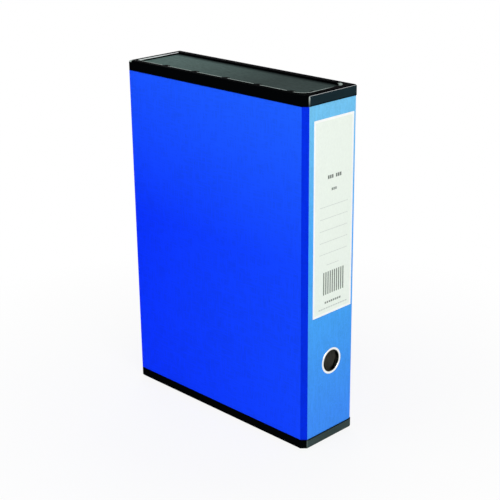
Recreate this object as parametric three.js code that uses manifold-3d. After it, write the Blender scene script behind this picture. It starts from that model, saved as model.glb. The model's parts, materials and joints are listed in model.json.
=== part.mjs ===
// Box file for foolscap papers: a paper-covered board case with moulded ends, a lid that
// turns on a paper hinge at the spine, a press-button catch on the fore edge and a sprung
// paper clamp on the base.
//
// Millimetres. The file stands on its lower end: +Z is up, +X points out of the spine,
// -Y out of the base board and +Y out of the lid. The origin is the middle of the foot.

import * as THREE from 'three';
import { mergeVertices } from 'three/addons/utils/BufferGeometryUtils.js';
import Module from 'manifold-3d';

const wasm = await Module();
wasm.setup();

// Driving dimensions: the whole box
const HEIGHT = 370;
const DEPTH = 256;
const WIDTH = 74;
const CORNER_BEVEL = 5.5;
const FIT = 0.3;

// Sheet thicknesses: case board, cover paper and inner lining
const BOARD = 2.2;
const PAPER = 0.35;
const LINER = 0.3;
const CREASE = 0.3;
const TURN_IN = 12;

// Moulded ends: band round the boards, rim, recess for the panel, spigot inside the boards
const BAND_HEIGHT = 10.5;
const BAND_PROUD = 0.6;
const EDGE_ROUND = 2;
const CORNER_ROUND = 2.2;
const SHARPEST = 0.05;
const HINGE_CORNER_ROUND = 2.5;
const HINGE_CORNER_CUT = 3;
const RIM_SIDE = 8.8;
const RIM_FORE = 7.8;
const RIM_SPINE = 10.5;
const RECESS_DEPTH = 2;
const RECESS_EDGE = 0.5;
const RECESS_SPINE_CORNER = 11;
const RECESS_FORE_CORNER = 1.5;
const LEDGE_CORNER = 1;
const SPIGOT_WALL = 2;
const SPIGOT_DEPTH = 9;
const LEDGE_WIDTH = 6;
const LEDGE_THICKNESS = 2;
const PANEL = 1.5;
const PANEL_PLAY = 0.15;
const LUG_RADIUS = 3;
const LUG_DROP = 0.4;
const LUG_COUNT = 5;
const LUG_FIRST = 51;
const LUG_PITCH = 44.5;
const SPINE_LUG = 23;

// Lid
const LID_END_GAP = 0.5;
const LID_TURN_IN = 15;
const LID_CORNER_ROUND = 2;

// Label and finger hole on the spine
const LABEL_WIDTH = 57.4;
const LABEL_HEIGHT = 202;
const LABEL_DROP = 15.2;
const LABEL_MARGIN = 0.4;
const LABEL_PAPER = 0.2;
const RING_HEIGHT = 88.3;
const RING_HOLE = 23;
const RING_FLANGE = 28.4;
const RING_WALL = 0.6;
const WASHER_FLANGE = 31;
const WASHER = 0.8;
const WASHER_EDGE = 0.3;
const RING_CURL = 27.6;

// Rivets
const RIVET_SHANK = 1.4;
const RIVET_HEAD = 2.7;
const RIVET_HEAD_HEIGHT = 0.8;
const RIVET_CROWN = 0.75;
const RIVET_EDGE = 0.3;
const RIVET_SINK = 0.1;

// Paper clamp on the base
const CLAMP_PIVOT_X = 40;
const CLAMP_METAL = 1.2;
const CLAMP_PLATE_WIDTH = 66;
const CLAMP_PLATE_LENGTH = 36;
const CLAMP_PLATE_CORNER = 4;
const CLAMP_PLATE_MARGIN = 2;
const CLAMP_RIVET_WEST = 8.5;
const CLAMP_RIVET_EAST = 6;
const CLAMP_RIVET_INSET = 12;
const CLAMP_PIVOT_RISE = 6;
const CLAMP_EAR_SPACING = 56;
const CLAMP_EAR_RADIUS = 4.5;
const CLAMP_EAR_ROUND = 4.4;
const CLAMP_PIN_RADIUS = 1.5;
const CLAMP_PIN_HEAD = 2.5;
const CLAMP_PIN_HEAD_HEIGHT = 1.2;
const CLAMP_PIN_EDGE = 0.5;
const CLAMP_KNUCKLE = 3;
const CLAMP_KNUCKLE_LENGTH = 6;
const CLAMP_REACH = 56;
const CLAMP_ARM_END = 30;
const CLAMP_ARM_TIP = 2;
const CLAMP_ARM_TIP_ROUND = 3;
const CLAMP_ARM_SHOULDER = 12;
const CLAMP_ARM_WAIST_ROUND = 6;
const CLAMP_WINDOW_WIDTH = 14;
const CLAMP_WINDOW_INSET = 14;
const CLAMP_WINDOW_ROUND = 4;
const CLAMP_BAR_LENGTH = 104;
const CLAMP_BAR_WIDTH = 14;
const CLAMP_BAR_METAL = 1;
const CLAMP_BAR_TAPER = 7;
const CLAMP_BAR_END = 2;
const CLAMP_BAR_RIVET_SPACING = 16;
const CLAMP_SPRING_RADIUS = 4;
const CLAMP_WIRE = 1;
const CLAMP_SPRING_TURNS = 5.25;
const CLAMP_SPRING_LENGTH = 9;
const CLAMP_SPRING_LEG = 15;
const CLAMP_SPRING_MARGIN = 2;

// Press-button catch on the fore edge
const CATCH_DROP = 20.7;
const BUTTON_RADIUS = 6;
const BUTTON_FLANGE = 7.5;
const BUTTON_FLANGE_THICKNESS = 1;
const BUTTON_SINK = 0.2;
const BUTTON_DISH = 0.4;
const BUTTON_RIM = 1.2;
const BUTTON_EDGE = 0.5;
const BUTTON_TRAVEL = 2.5;
const CATCH_PLATE_LENGTH = 56;
const CATCH_PLATE_WIDTH = 19;
const CATCH_PLATE_ROUND = 8.5;
const CATCH_RIVET_SPACING = 44;
const CATCH_CASE_LENGTH = 34;
const CATCH_CASE_WALL = 1;
const CATCH_CASE_BELOW = 9.5;
const CATCH_CASE_CLEAR = 2.2;
const CATCH_CASE_ROUND = 2;
const CATCH_FLANGE_WIDTH = 12;
const CATCH_FLANGE_MARGIN = 1.5;
const CATCH_FLANGE_ROUND = 3;
const NOSE_WIDTH = 12;
const NOSE_PLATE = 1.5;
const NOSE_PLATE_ROUND = 1.5;
const NOSE_STEP = 0.6;
const NOSE_LEAD = 0.6;
const NOSE_TIP = 1;
const NOSE_PLAY = 0.5;
const STRIKER_METAL = 1;
const STRIKER_WIDTH = 14;
const STRIKER_FOOT_WIDTH = 26;
const STRIKER_FOOT_LENGTH = 11;
const STRIKER_FOOT_ROUND = 2;
const STRIKER_RIVET_SPACING = 16;
const STRIKER_DROP = 12.5;
const STRIKER_SETBACK = 0.8;
const STRIKER_PLAY = 1;
const STRIKER_LIP = 1.5;
const STRIKER_WINDOW = 4;
const STRIKER_WINDOW_WIDTH = 8;
const STRIKER_WINDOW_ROUND = 0.8;
const CATCH_SPRING_RADIUS = 3;
const CATCH_SPRING_TURNS = 3;
const CATCH_WIRE = 0.6;

// Facets for round work
const ROUND_STEPS = 32;
const CORNER_STEPS = 4;
const FINE_CORNER_STEPS = 6;
const RING_STEPS = 40;
const DOME_STEPS = 6;
const SMALL_STEPS = 20;
const RIVET_STEPS = 16;
const WIRE_SIDES = 6;
const WIRE_STEPS_A_TURN = 20;

// How far a cutting tool runs past the face that it opens, and how near points are welded
const OVERRUN = 1;
const WELD = 1e-4;

// Worked-out places that several pieces share
const halfDepth = DEPTH / 2;
const halfWidth = WIDTH / 2;
const middle = HEIGHT / 2;
const coverInset = BAND_PROUD;
const boardInset = coverInset + PAPER;
const liningInset = boardInset + BOARD;
const insideInset = liningInset + LINER;
const spigotInset = insideInset + FIT;
const lidInner = halfWidth - boardInset - BOARD - PAPER;
const wallTop = lidInner - FIT;
const caseBottom = BAND_HEIGHT;
const caseTop = HEIGHT - BAND_HEIGHT;
const lidBottom = caseBottom + LID_END_GAP;
const lidTop = caseTop - LID_END_GAP;
const wallInside = -halfDepth + liningInset + Math.max(PAPER, LINER);
const spineInside = halfDepth - insideInset;
const baseInside = -halfWidth + insideInset;
const catchY = wallTop - CATCH_DROP;
const catchZ = middle;

// Meshes in and out of the boolean library
function weld(geometry) {
  const bare = geometry.clone();
  bare.deleteAttribute('normal');
  bare.deleteAttribute('uv');
  const merged = mergeVertices(bare, WELD);
  const kept = [];
  for (let i = 0; i < merged.index.count; i += 3) {
    const [a, b, c] = [0, 1, 2].map((k) => merged.index.getX(i + k));
    if (a !== b && b !== c && c !== a) kept.push(a, b, c);
  }
  merged.setIndex(kept);
  return merged;
}

function signedVolume(geometry) {
  const place = geometry.attributes.position;
  const corner = [new THREE.Vector3(), new THREE.Vector3(), new THREE.Vector3()];
  let sum = 0;
  for (let i = 0; i < geometry.index.count; i += 3) {
    corner.forEach((point, k) => point.fromBufferAttribute(place, geometry.index.getX(i + k)));
    sum += corner[0].dot(corner[1].clone().cross(corner[2])) / 6;
  }
  return sum;
}

// Welded geometry with its faces turned outwards.
function facingOut(geometry) {
  const welded = weld(geometry);
  if (signedVolume(welded) < 0) {
    const turned = Array.from(welded.index.array);
    for (let i = 0; i < turned.length; i += 3) {
      [turned[i], turned[i + 1]] = [turned[i + 1], turned[i]];
    }
    welded.setIndex(turned);
  }
  return welded;
}

function toSolid(geometry) {
  const closed = facingOut(geometry);
  return new wasm.Manifold(new wasm.Mesh({
    numProp: 3,
    vertProperties: Float32Array.from(closed.attributes.position.array),
    triVerts: Uint32Array.from(closed.index.array),
  }));
}

function toGeometry(solid) {
  const mesh = solid.getMesh();
  const geometry = new THREE.BufferGeometry();
  geometry.setAttribute('position', new THREE.BufferAttribute(Float32Array.from(mesh.vertProperties), 3));
  geometry.setIndex(Array.from(mesh.triVerts));
  return geometry;
}

const join = (...pieces) => toGeometry(pieces.map(toSolid).reduce((sum, next) => sum.add(next)));
const cut = (piece, ...tools) => toGeometry(
  tools.map(toSolid).reduce((rest, tool) => rest.subtract(tool), toSolid(piece)),
);

// Outlines
const point = (x, y) => new THREE.Vector2(x, y);

// Polygon from corners [x, y, radius]: a corner with a radius becomes an arc.
function rounded(corners, steps = CORNER_STEPS) {
  const outline = [];
  corners.forEach(([x, y, radius], i) => {
    const here = point(x, y);
    if (!radius) {
      outline.push(here);
      return;
    }
    const [before, after] = [corners.at(i - 1), corners[(i + 1) % corners.length]];
    const back = point(before[0] - x, before[1] - y).normalize();
    const on = point(after[0] - x, after[1] - y).normalize();
    const half = Math.acos(THREE.MathUtils.clamp(back.dot(on), -1, 1)) / 2;
    const centre = back.clone().add(on).setLength(radius / Math.sin(half)).add(here);
    const reach = radius / Math.tan(half);
    const start = back.multiplyScalar(reach).add(here).sub(centre);
    const end = on.multiplyScalar(reach).add(here).sub(centre);
    const turn = Math.atan2(start.cross(end), start.dot(end));
    for (let k = 0; k <= steps; k += 1) {
      outline.push(start.clone().rotateAround(point(0, 0), (turn * k) / steps).add(centre));
    }
  });
  return outline;
}

function circle(x, y, radius, steps = ROUND_STEPS) {
  return Array.from({ length: steps }, (_, k) => {
    const angle = (2 * Math.PI * k) / steps;
    return point(x + radius * Math.cos(angle), y + radius * Math.sin(angle));
  });
}

const rectangle = (x0, y0, x1, y1, radius = 0) => rounded(
  [[x0, y0, radius], [x1, y0, radius], [x1, y1, radius], [x0, y1, radius]],
);

// Solids from outlines, along Z, X or Y. Along X the outline is (y, z), along Y it is (z, x).
function prism(outline, low, high) {
  const settings = { depth: high - low, bevelEnabled: false };
  return new THREE.ExtrudeGeometry(new THREE.Shape(outline), settings).translate(0, 0, low);
}

const axes = {
  x: new THREE.Vector3(1, 0, 0),
  y: new THREE.Vector3(0, 1, 0),
  z: new THREE.Vector3(0, 0, 1),
};
const ontoX = new THREE.Matrix4().makeBasis(axes.y, axes.z, axes.x);
const ontoY = new THREE.Matrix4().makeBasis(axes.z, axes.x, axes.y);
const prismX = (outline, low, high) => prism(outline, low, high).applyMatrix4(ontoX);
const prismY = (outline, low, high) => prism(outline, low, high).applyMatrix4(ontoY);

// Stack of outlines with equal point counts, closed at both ends.
function loft(rings) {
  const count = rings[0].outline.length;
  const places = rings.flatMap(({ outline, z }) => outline.flatMap((p) => [p.x, p.y, z]));
  const faces = [];
  for (let ring = 0; ring + 1 < rings.length; ring += 1) {
    for (let i = 0; i < count; i += 1) {
      const a = ring * count + i;
      const b = ring * count + ((i + 1) % count);
      faces.push(a, b, b + count, a, b + count, a + count);
    }
  }
  const top = (rings.length - 1) * count;
  for (const [a, b, c] of THREE.ShapeUtils.triangulateShape(rings[0].outline, [])) faces.push(a, c, b);
  for (const [a, b, c] of THREE.ShapeUtils.triangulateShape(rings.at(-1).outline, [])) {
    faces.push(top + a, top + b, top + c);
  }
  const geometry = new THREE.BufferGeometry();
  geometry.setAttribute('position', new THREE.Float32BufferAttribute(places, 3));
  geometry.setIndex(faces);
  return geometry;
}

// Revolved profile of [radius, height] pairs; the height runs along +Y.
function turned(profile, steps = ROUND_STEPS) {
  return new THREE.LatheGeometry(profile.map(([radius, height]) => point(radius, height)), steps);
}

// Sheet folded along a path: the path is one face, the other lies to its left.
function foldedSheet(path, thickness) {
  const other = path.map((here, i) => {
    const before = i > 0 ? path[i - 1] : null;
    const after = i + 1 < path.length ? path[i + 1] : null;
    const sides = [];
    if (before) sides.push(here.clone().sub(before).normalize());
    if (after) sides.push(after.clone().sub(here).normalize());
    const normals = sides.map((side) => point(-side.y, side.x));
    const mitre = normals.reduce((sum, normal) => sum.add(normal), point(0, 0)).normalize();
    return mitre.multiplyScalar(thickness / mitre.dot(normals[0])).add(here);
  });
  return [...path, ...other.reverse()];
}

// The case in plan: fore edge, base, bevelled corner and spine, a given distance inside the ends' outline.
function casePath(inset, foreTop, spineTop) {
  const x = halfDepth - inset;
  const y = halfWidth - inset;
  const leg = CORNER_BEVEL - inset * (2 - Math.SQRT2);
  return [
    point(-x, foreTop),
    point(-x, -y),
    point(x - leg, -y),
    point(x, -y + leg),
    point(x, spineTop),
  ];
}

const closedPath = (inset) => {
  const side = halfWidth - inset;
  return casePath(inset, side, side);
};

// Revolved pieces that point along +X or stand along Y
const alongX = (geometry) => geometry.rotateZ(-Math.PI / 2);
const alongZ = (geometry) => geometry.rotateX(Math.PI / 2);

// Rivet along +Y: its lower head lies under 0, its upper head on the grip.
function rivet(grip) {
  return turned([
    [0, -RIVET_HEAD_HEIGHT],
    [RIVET_HEAD, -RIVET_HEAD_HEIGHT],
    [RIVET_HEAD, 0],
    [RIVET_SHANK, 0],
    [RIVET_SHANK, grip],
    [RIVET_HEAD, grip],
    [RIVET_HEAD * RIVET_CROWN, grip + RIVET_HEAD_HEIGHT],
    [0, grip + RIVET_HEAD_HEIGHT],
  ], RIVET_STEPS);
}

const rivetHole = RIVET_SHANK + FIT;
const rivetSink = RIVET_HEAD + FIT;
const sinkDepth = RIVET_HEAD_HEIGHT + FIT;

// Moulded end, drawn as the lower one with its open side up
function endOutline(inset) {
  const x = halfDepth - inset;
  const y = halfWidth - inset;
  const leg = CORNER_BEVEL - inset * (2 - Math.SQRT2);
  const corner = Math.max(CORNER_ROUND - inset, SHARPEST);
  const hingeCorner = Math.max(HINGE_CORNER_ROUND - inset, SHARPEST);
  return rounded([
    [-x, -y, corner],
    [x - leg, -y, 0],
    [x, -y + leg, 0],
    [x, y, hingeCorner],
    [-x, y, corner],
  ]);
}

function recessOutline(inset) {
  const [west, east] = [-halfDepth + RIM_FORE + inset, halfDepth - RIM_SPINE - inset];
  const [south, north] = [-halfWidth + RIM_SIDE + inset, halfWidth - RIM_SIDE - inset];
  const spineCorner = Math.max(RECESS_SPINE_CORNER - inset, LEDGE_CORNER);
  const foreCorner = Math.max(RECESS_FORE_CORNER - inset, LEDGE_CORNER);
  return rounded([
    [west, south, foreCorner],
    [east, south, spineCorner],
    [east, north, spineCorner],
    [west, north, foreCorner],
  ], FINE_CORNER_STEPS);
}

const panelSlot = PANEL + 2 * PANEL_PLAY;
const recessFloor = RECESS_DEPTH + panelSlot;

function roundedBand() {
  const edge = Array.from({ length: CORNER_STEPS + 1 }, (_, k) => {
    const angle = (Math.PI / 2) * (k / CORNER_STEPS);
    return {
      outline: endOutline(EDGE_ROUND * (1 - Math.sin(angle))),
      z: EDGE_ROUND * (1 - Math.cos(angle)),
    };
  });
  return loft([...edge, { outline: endOutline(0), z: BAND_HEIGHT }]);
}

// Half-space beyond a plane across the foot corner at the hinge.
function hingeCornerTool() {
  const size = WIDTH;
  const outward = new THREE.Vector3(1, 1, -1).normalize();
  const distance = size / 2 - HINGE_CORNER_CUT / Math.sqrt(3);
  const turn = new THREE.Quaternion().setFromUnitVectors(axes.z, outward);
  const centre = new THREE.Vector3(halfDepth, halfWidth, 0).addScaledVector(outward, distance);
  return new THREE.BoxGeometry(size, size, size).applyQuaternion(turn).translate(...centre);
}

function lugs() {
  const side = Array.from({ length: LUG_COUNT }, (_, k) => (
    circle(-halfDepth + LUG_FIRST + k * LUG_PITCH, -halfWidth + RIM_SIDE, LUG_RADIUS, SMALL_STEPS)
  ));
  const end = circle(halfDepth - RIM_SPINE, -halfWidth + SPINE_LUG, LUG_RADIUS, SMALL_STEPS);
  return [...side, end].map((outline) => prism(outline, LUG_DROP, RECESS_DEPTH));
}

function endFrame() {
  const top = BAND_HEIGHT + SPIGOT_DEPTH;
  const body = join(roundedBand(), prism(closedPath(spigotInset), BAND_HEIGHT - OVERRUN, top));
  const recess = loft([
    { outline: recessOutline(-RECESS_EDGE - OVERRUN), z: -OVERRUN },
    { outline: recessOutline(0), z: RECESS_EDGE },
    { outline: recessOutline(0), z: recessFloor },
  ]);
  const inside = closedPath(spigotInset + SPIGOT_WALL);
  return join(
    cut(
      body,
      recess,
      prism(recessOutline(LEDGE_WIDTH), -OVERRUN, top + OVERRUN),
      prism(inside, recessFloor + LEDGE_THICKNESS, top + OVERRUN),
      hingeCornerTool(),
    ),
    ...lugs(),
  );
}

function endPanel() {
  const low = RECESS_DEPTH + PANEL_PLAY;
  return prism(recessOutline(FIT), low, low + PANEL);
}

// The upper end is the lower one seen in a mirror.
function mirrored(geometry) {
  return geometry.clone().scale(1, 1, -1).translate(0, 0, HEIGHT);
}

// Case boards, cover and lining
function boardOutline(segment) {
  const foreTop = wallTop - PAPER;
  const outer = casePath(boardInset, foreTop, wallTop);
  const inner = casePath(liningInset, foreTop, wallTop);
  const along = outer[segment + 1].clone().sub(outer[segment]).normalize();
  const startGap = segment > 0 ? CREASE / 2 : 0;
  const endGap = segment + 2 < outer.length ? CREASE / 2 : 0;
  return [
    outer[segment].clone().addScaledVector(along, startGap),
    outer[segment + 1].clone().addScaledVector(along, -endGap),
    inner[segment + 1].clone().addScaledVector(along, -endGap),
    inner[segment].clone().addScaledVector(along, startGap),
  ];
}

const boardPiece = (segment) => prism(boardOutline(segment), caseBottom, caseTop);

function caseCover() {
  const [foreTop, ...rest] = casePath(coverInset, wallTop, wallTop);
  const fold = -halfDepth + liningInset + PAPER;
  const path = [point(fold, wallTop - TURN_IN), point(fold, wallTop), foreTop, ...rest];
  return prism(foldedSheet(path, PAPER), caseBottom, caseTop);
}

function caseLining() {
  const foreTop = wallTop - TURN_IN - FIT;
  return prism(foldedSheet(casePath(liningInset, foreTop, wallTop), LINER), caseBottom, caseTop);
}

// Holes along X through the spine or the fore edge, and along Y through the base or the lid
const ringY = wallTop - LABEL_MARGIN - LABEL_WIDTH / 2;
const ringTube = RING_HOLE / 2 + RING_WALL;
const fingerHole = () => prismX(circle(ringY, RING_HEIGHT, ringTube + FIT), 0, DEPTH);
const holeX = (y, z, radius) => prismX(circle(y, z, radius), -DEPTH, 0);
const holeY = (x, z, radius, low, high) => prismY(circle(z, x, radius, RIVET_STEPS), low, high);

// Clamp places
const plateTop = baseInside + CLAMP_METAL;
const pivotY = plateTop + CLAMP_PIVOT_RISE;
const plateEast = CLAMP_PIVOT_X + CLAMP_PLATE_LENGTH - CLAMP_EAR_RADIUS - CLAMP_PLATE_MARGIN;
const plateWest = plateEast - CLAMP_PLATE_LENGTH;
const rivetColumns = [plateWest + CLAMP_RIVET_WEST, plateEast - CLAMP_RIVET_EAST];
const clampRivets = [-1, 1].flatMap((end) => rivetColumns.map((x) => ({
  x,
  z: middle + end * (CLAMP_PLATE_WIDTH / 2 - CLAMP_RIVET_INSET),
})));
const boardOutside = -halfWidth + boardInset;

// Catch places
const coverFace = -halfDepth + coverInset;
const catchRivets = [-1, 1].map((end) => catchZ + (end * CATCH_RIVET_SPACING) / 2);
const buttonHole = BUTTON_RADIUS + FIT;
const strikerX = wallInside + STRIKER_SETBACK;
const strikerRivets = [-1, 1].map((end) => ({
  x: strikerX + STRIKER_METAL + STRIKER_FOOT_LENGTH / 2,
  z: catchZ + (end * STRIKER_RIVET_SPACING) / 2,
}));
const lidBoardTop = halfWidth - boardInset;

const catchHoles = () => [
  holeX(catchY, catchZ, buttonHole),
  ...catchRivets.map((z) => holeX(catchY, z, rivetHole)),
];
const clampHoles = (low, high) => clampRivets.map(({ x, z }) => holeY(x, z, rivetHole, low, high));

function baseBoard() {
  const sinks = clampRivets.map(({ x, z }) => (
    holeY(x, z, rivetSink, boardOutside - OVERRUN, boardOutside + sinkDepth)
  ));
  return cut(boardPiece(1), ...clampHoles(-WIDTH, 0), ...sinks);
}

// Lid: board, cover with its turned-in edges, lining
function lidOutline(inset) {
  const corner = Math.max(LID_CORNER_ROUND - inset, SHARPEST);
  const x = halfDepth - coverInset - inset;
  const high = halfWidth - coverInset - inset;
  const low = lidInner + inset;
  return rounded([[-x, low, 0], [x, low, 0], [x, high, corner], [-x, high, 0]]);
}

const strikerHoles = (low, high) => strikerRivets.map(({ x, z }) => holeY(x, z, rivetHole, low, high));

function lidBoard() {
  const sinks = strikerRivets.map(({ x, z }) => (
    holeY(x, z, rivetSink, lidBoardTop - sinkDepth, lidBoardTop + OVERRUN)
  ));
  return cut(prism(lidOutline(PAPER), lidBottom + PAPER, lidTop - PAPER), ...strikerHoles(0, WIDTH), ...sinks);
}

const lidWindow = (grow) => rectangle(
  lidBottom + LID_TURN_IN - grow,
  -halfDepth + coverInset + LID_TURN_IN - grow,
  lidTop - LID_TURN_IN + grow,
  halfDepth - coverInset - LID_TURN_IN + grow,
);

function lidCover() {
  return cut(
    prism(lidOutline(0), lidBottom, lidTop),
    prism(lidOutline(PAPER), lidBottom + PAPER, lidTop - PAPER),
    prismY(lidWindow(0), lidInner - OVERRUN, lidInner + PAPER + OVERRUN),
    ...strikerHoles(0, lidInner + PAPER + OVERRUN),
  );
}

const lidLining = () => prismY(lidWindow(-FIT), lidInner + PAPER - LINER, lidInner + PAPER);

// Label, finger ring and its washer
const spineFace = halfDepth - coverInset;

function spineLabel() {
  const half = LABEL_WIDTH / 2;
  const top = caseTop - LABEL_DROP;
  const outline = rectangle(ringY - half, top - LABEL_HEIGHT, ringY + half, top);
  return prismX(outline, spineFace, spineFace + LABEL_PAPER);
}

// The ring's flange is a dome, half an ellipse from its rim over to the hole.
function fingerRing() {
  const [hole, flange, curl] = [RING_HOLE / 2, RING_FLANGE / 2, RING_CURL / 2];
  const back = spineInside - WASHER - FIT;
  const dome = Array.from({ length: DOME_STEPS + 1 }, (_, k) => {
    const angle = (Math.PI * k) / DOME_STEPS;
    return [
      (flange + hole) / 2 + ((flange - hole) / 2) * Math.cos(angle),
      spineFace + (halfDepth - spineFace) * Math.sin(angle),
    ];
  });
  const ring = turned([
    [hole, back - RING_WALL],
    [curl, back - RING_WALL],
    [curl, back],
    [ringTube, back],
    [ringTube, spineFace],
    ...dome,
    [hole, back - RING_WALL],
  ], RING_STEPS);
  return alongX(ring).translate(0, ringY, RING_HEIGHT);
}

function ringWasher() {
  const inner = ringTube + FIT;
  const outer = WASHER_FLANGE / 2;
  const [low, high] = [spineInside - WASHER, spineInside];
  const washer = turned([
    [inner, low],
    [outer - WASHER_EDGE, low],
    [outer, high],
    [inner, high],
    [inner, low],
  ], RING_STEPS);
  return alongX(washer).translate(0, ringY, RING_HEIGHT);
}

// Clamp: riveted plate with two ears, pin, arm with rolled knuckles, pressing bar
const clampEars = [-1, 1].map((end) => middle + (end * CLAMP_EAR_SPACING) / 2);

function clampPlate() {
  const [low, high] = [middle - CLAMP_PLATE_WIDTH / 2, middle + CLAMP_PLATE_WIDTH / 2];
  const plate = prismY(rectangle(low, plateWest, high, plateEast, CLAMP_PLATE_CORNER), baseInside, plateTop);
  const earFoot = baseInside + CLAMP_METAL / 2;
  const ears = clampEars.map((z) => {
    const outline = rounded([
      [CLAMP_PIVOT_X - CLAMP_EAR_RADIUS, earFoot, 0],
      [CLAMP_PIVOT_X + CLAMP_EAR_RADIUS, earFoot, 0],
      [CLAMP_PIVOT_X + CLAMP_EAR_RADIUS, pivotY + CLAMP_EAR_RADIUS, CLAMP_EAR_ROUND],
      [CLAMP_PIVOT_X - CLAMP_EAR_RADIUS, pivotY + CLAMP_EAR_RADIUS, CLAMP_EAR_ROUND],
    ], FINE_CORNER_STEPS);
    return prism(outline, z - CLAMP_METAL / 2, z + CLAMP_METAL / 2);
  });
  const pinHole = prism(circle(CLAMP_PIVOT_X, pivotY, CLAMP_PIN_RADIUS + FIT, SMALL_STEPS), 0, HEIGHT);
  return cut(join(plate, ...ears), pinHole, ...clampHoles(-WIDTH, 0));
}

function clampPin() {
  const half = CLAMP_EAR_SPACING / 2 + CLAMP_METAL / 2 + FIT;
  const end = half + CLAMP_PIN_HEAD_HEIGHT;
  const pin = turned([
    [0, -end],
    [CLAMP_PIN_HEAD - CLAMP_PIN_EDGE, -end],
    [CLAMP_PIN_HEAD, -half],
    [CLAMP_PIN_RADIUS, -half],
    [CLAMP_PIN_RADIUS, half],
    [CLAMP_PIN_HEAD, half],
    [CLAMP_PIN_HEAD - CLAMP_PIN_EDGE, end],
    [0, end],
  ], SMALL_STEPS);
  return alongZ(pin).translate(CLAMP_PIVOT_X, pivotY, middle);
}

const armTop = pivotY + CLAMP_KNUCKLE;
const armUnder = armTop - CLAMP_METAL;
const knuckleEdge = CLAMP_EAR_SPACING / 2 - CLAMP_METAL / 2 - FIT;
const barMiddle = CLAMP_PIVOT_X - CLAMP_REACH + CLAMP_BAR_WIDTH / 2;
const barUnder = armUnder - CLAMP_BAR_METAL;
const springGap = CLAMP_SPRING_RADIUS + CLAMP_WIRE / 2 + FIT;
const barRivets = [-1, 1].map((end) => middle + (end * CLAMP_BAR_RIVET_SPACING) / 2);

function clampArm() {
  const tip = CLAMP_PIVOT_X - CLAMP_REACH + CLAMP_ARM_TIP;
  const shoulder = CLAMP_PIVOT_X - CLAMP_ARM_SHOULDER;
  const waist = barMiddle + CLAMP_BAR_WIDTH;
  const sheet = prismY(rounded([
    [middle - CLAMP_ARM_END / 2, tip, CLAMP_ARM_TIP_ROUND],
    [middle + CLAMP_ARM_END / 2, tip, CLAMP_ARM_TIP_ROUND],
    [middle + CLAMP_ARM_END / 2, waist, CLAMP_ARM_WAIST_ROUND],
    [middle + knuckleEdge, shoulder, CLAMP_ARM_WAIST_ROUND],
    [middle + knuckleEdge, CLAMP_PIVOT_X, 0],
    [middle - knuckleEdge, CLAMP_PIVOT_X, 0],
    [middle - knuckleEdge, shoulder, CLAMP_ARM_WAIST_ROUND],
    [middle - CLAMP_ARM_END / 2, waist, CLAMP_ARM_WAIST_ROUND],
  ]), armUnder, armTop);
  const inner = knuckleEdge - CLAMP_KNUCKLE_LENGTH;
  const springRoom = prismY(
    rectangle(middle - inner, CLAMP_PIVOT_X - springGap, middle + inner, CLAMP_PIVOT_X + OVERRUN),
    armUnder - OVERRUN,
    armTop + OVERRUN,
  );
  const window = prismY(
    rectangle(
      middle - CLAMP_WINDOW_WIDTH / 2,
      waist,
      middle + CLAMP_WINDOW_WIDTH / 2,
      CLAMP_PIVOT_X - CLAMP_WINDOW_INSET,
      CLAMP_WINDOW_ROUND,
    ),
    armUnder - OVERRUN,
    armTop + OVERRUN,
  );
  const knuckles = [-1, 1].map((end) => {
    const [near, far] = [middle + end * inner, middle + end * knuckleEdge];
    const tube = circle(CLAMP_PIVOT_X, pivotY, CLAMP_KNUCKLE, SMALL_STEPS);
    return prism(tube, Math.min(near, far), Math.max(near, far));
  });
  const bore = prism(circle(CLAMP_PIVOT_X, pivotY, CLAMP_PIN_RADIUS + FIT, SMALL_STEPS), 0, HEIGHT);
  return cut(
    join(cut(sheet, springRoom, window), ...knuckles),
    bore,
    ...barRivets.map((z) => holeY(barMiddle, z, rivetHole, -WIDTH, WIDTH)),
  );
}

function clampBar() {
  const half = CLAMP_BAR_WIDTH / 2;
  const channel = foldedSheet([
    point(barMiddle + half, baseInside + FIT),
    point(barMiddle + half, armUnder),
    point(barMiddle - half, armUnder),
    point(barMiddle - half, baseInside + FIT),
  ], CLAMP_BAR_METAL);
  const long = CLAMP_BAR_LENGTH / 2;
  const bar = prism(channel, middle - long, middle + long);
  const endCut = [-1, 1].map((end) => prismX([
    point(baseInside, middle + end * (long + OVERRUN)),
    point(armUnder - CLAMP_BAR_END, middle + end * (long + OVERRUN)),
    point(baseInside, middle + end * (long - CLAMP_BAR_TAPER)),
  ], barMiddle - half - OVERRUN, barMiddle + half + OVERRUN));
  return cut(bar, ...endCut, ...barRivets.map((z) => holeY(barMiddle, z, rivetHole, -WIDTH, WIDTH)));
}

// Wire along a helix about +Z, with straight legs that leave it on its tangents.
class SpringWire extends THREE.Curve {
  constructor(radius, length, turns, firstLeg = 0, lastLeg = 0) {
    super();
    Object.assign(this, { radius, length, turns, firstLeg });
    this.coil = 2 * Math.PI * radius * turns;
    this.total = firstLeg + this.coil + lastLeg;
  }

  onCoil(share) {
    const angle = 2 * Math.PI * this.turns * share;
    const [cosine, sine] = [Math.cos(angle), Math.sin(angle)];
    const place = new THREE.Vector3(this.radius * cosine, this.radius * sine, this.length * (share - 0.5));
    return { place, along: new THREE.Vector3(-sine, cosine, 0) };
  }

  getPoint(t) {
    const travelled = t * this.total;
    const share = THREE.MathUtils.clamp((travelled - this.firstLeg) / this.coil, 0, 1);
    const { place, along } = this.onCoil(share);
    const beyond = travelled - this.firstLeg - share * this.coil;
    return place.addScaledVector(along, beyond);
  }
}

function wire(curve, radius) {
  const section = new THREE.Shape(circle(0, 0, radius, WIRE_SIDES));
  const steps = Math.ceil(curve.turns * WIRE_STEPS_A_TURN);
  return new THREE.ExtrudeGeometry(section, { extrudePath: curve, steps, bevelEnabled: false });
}

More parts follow.
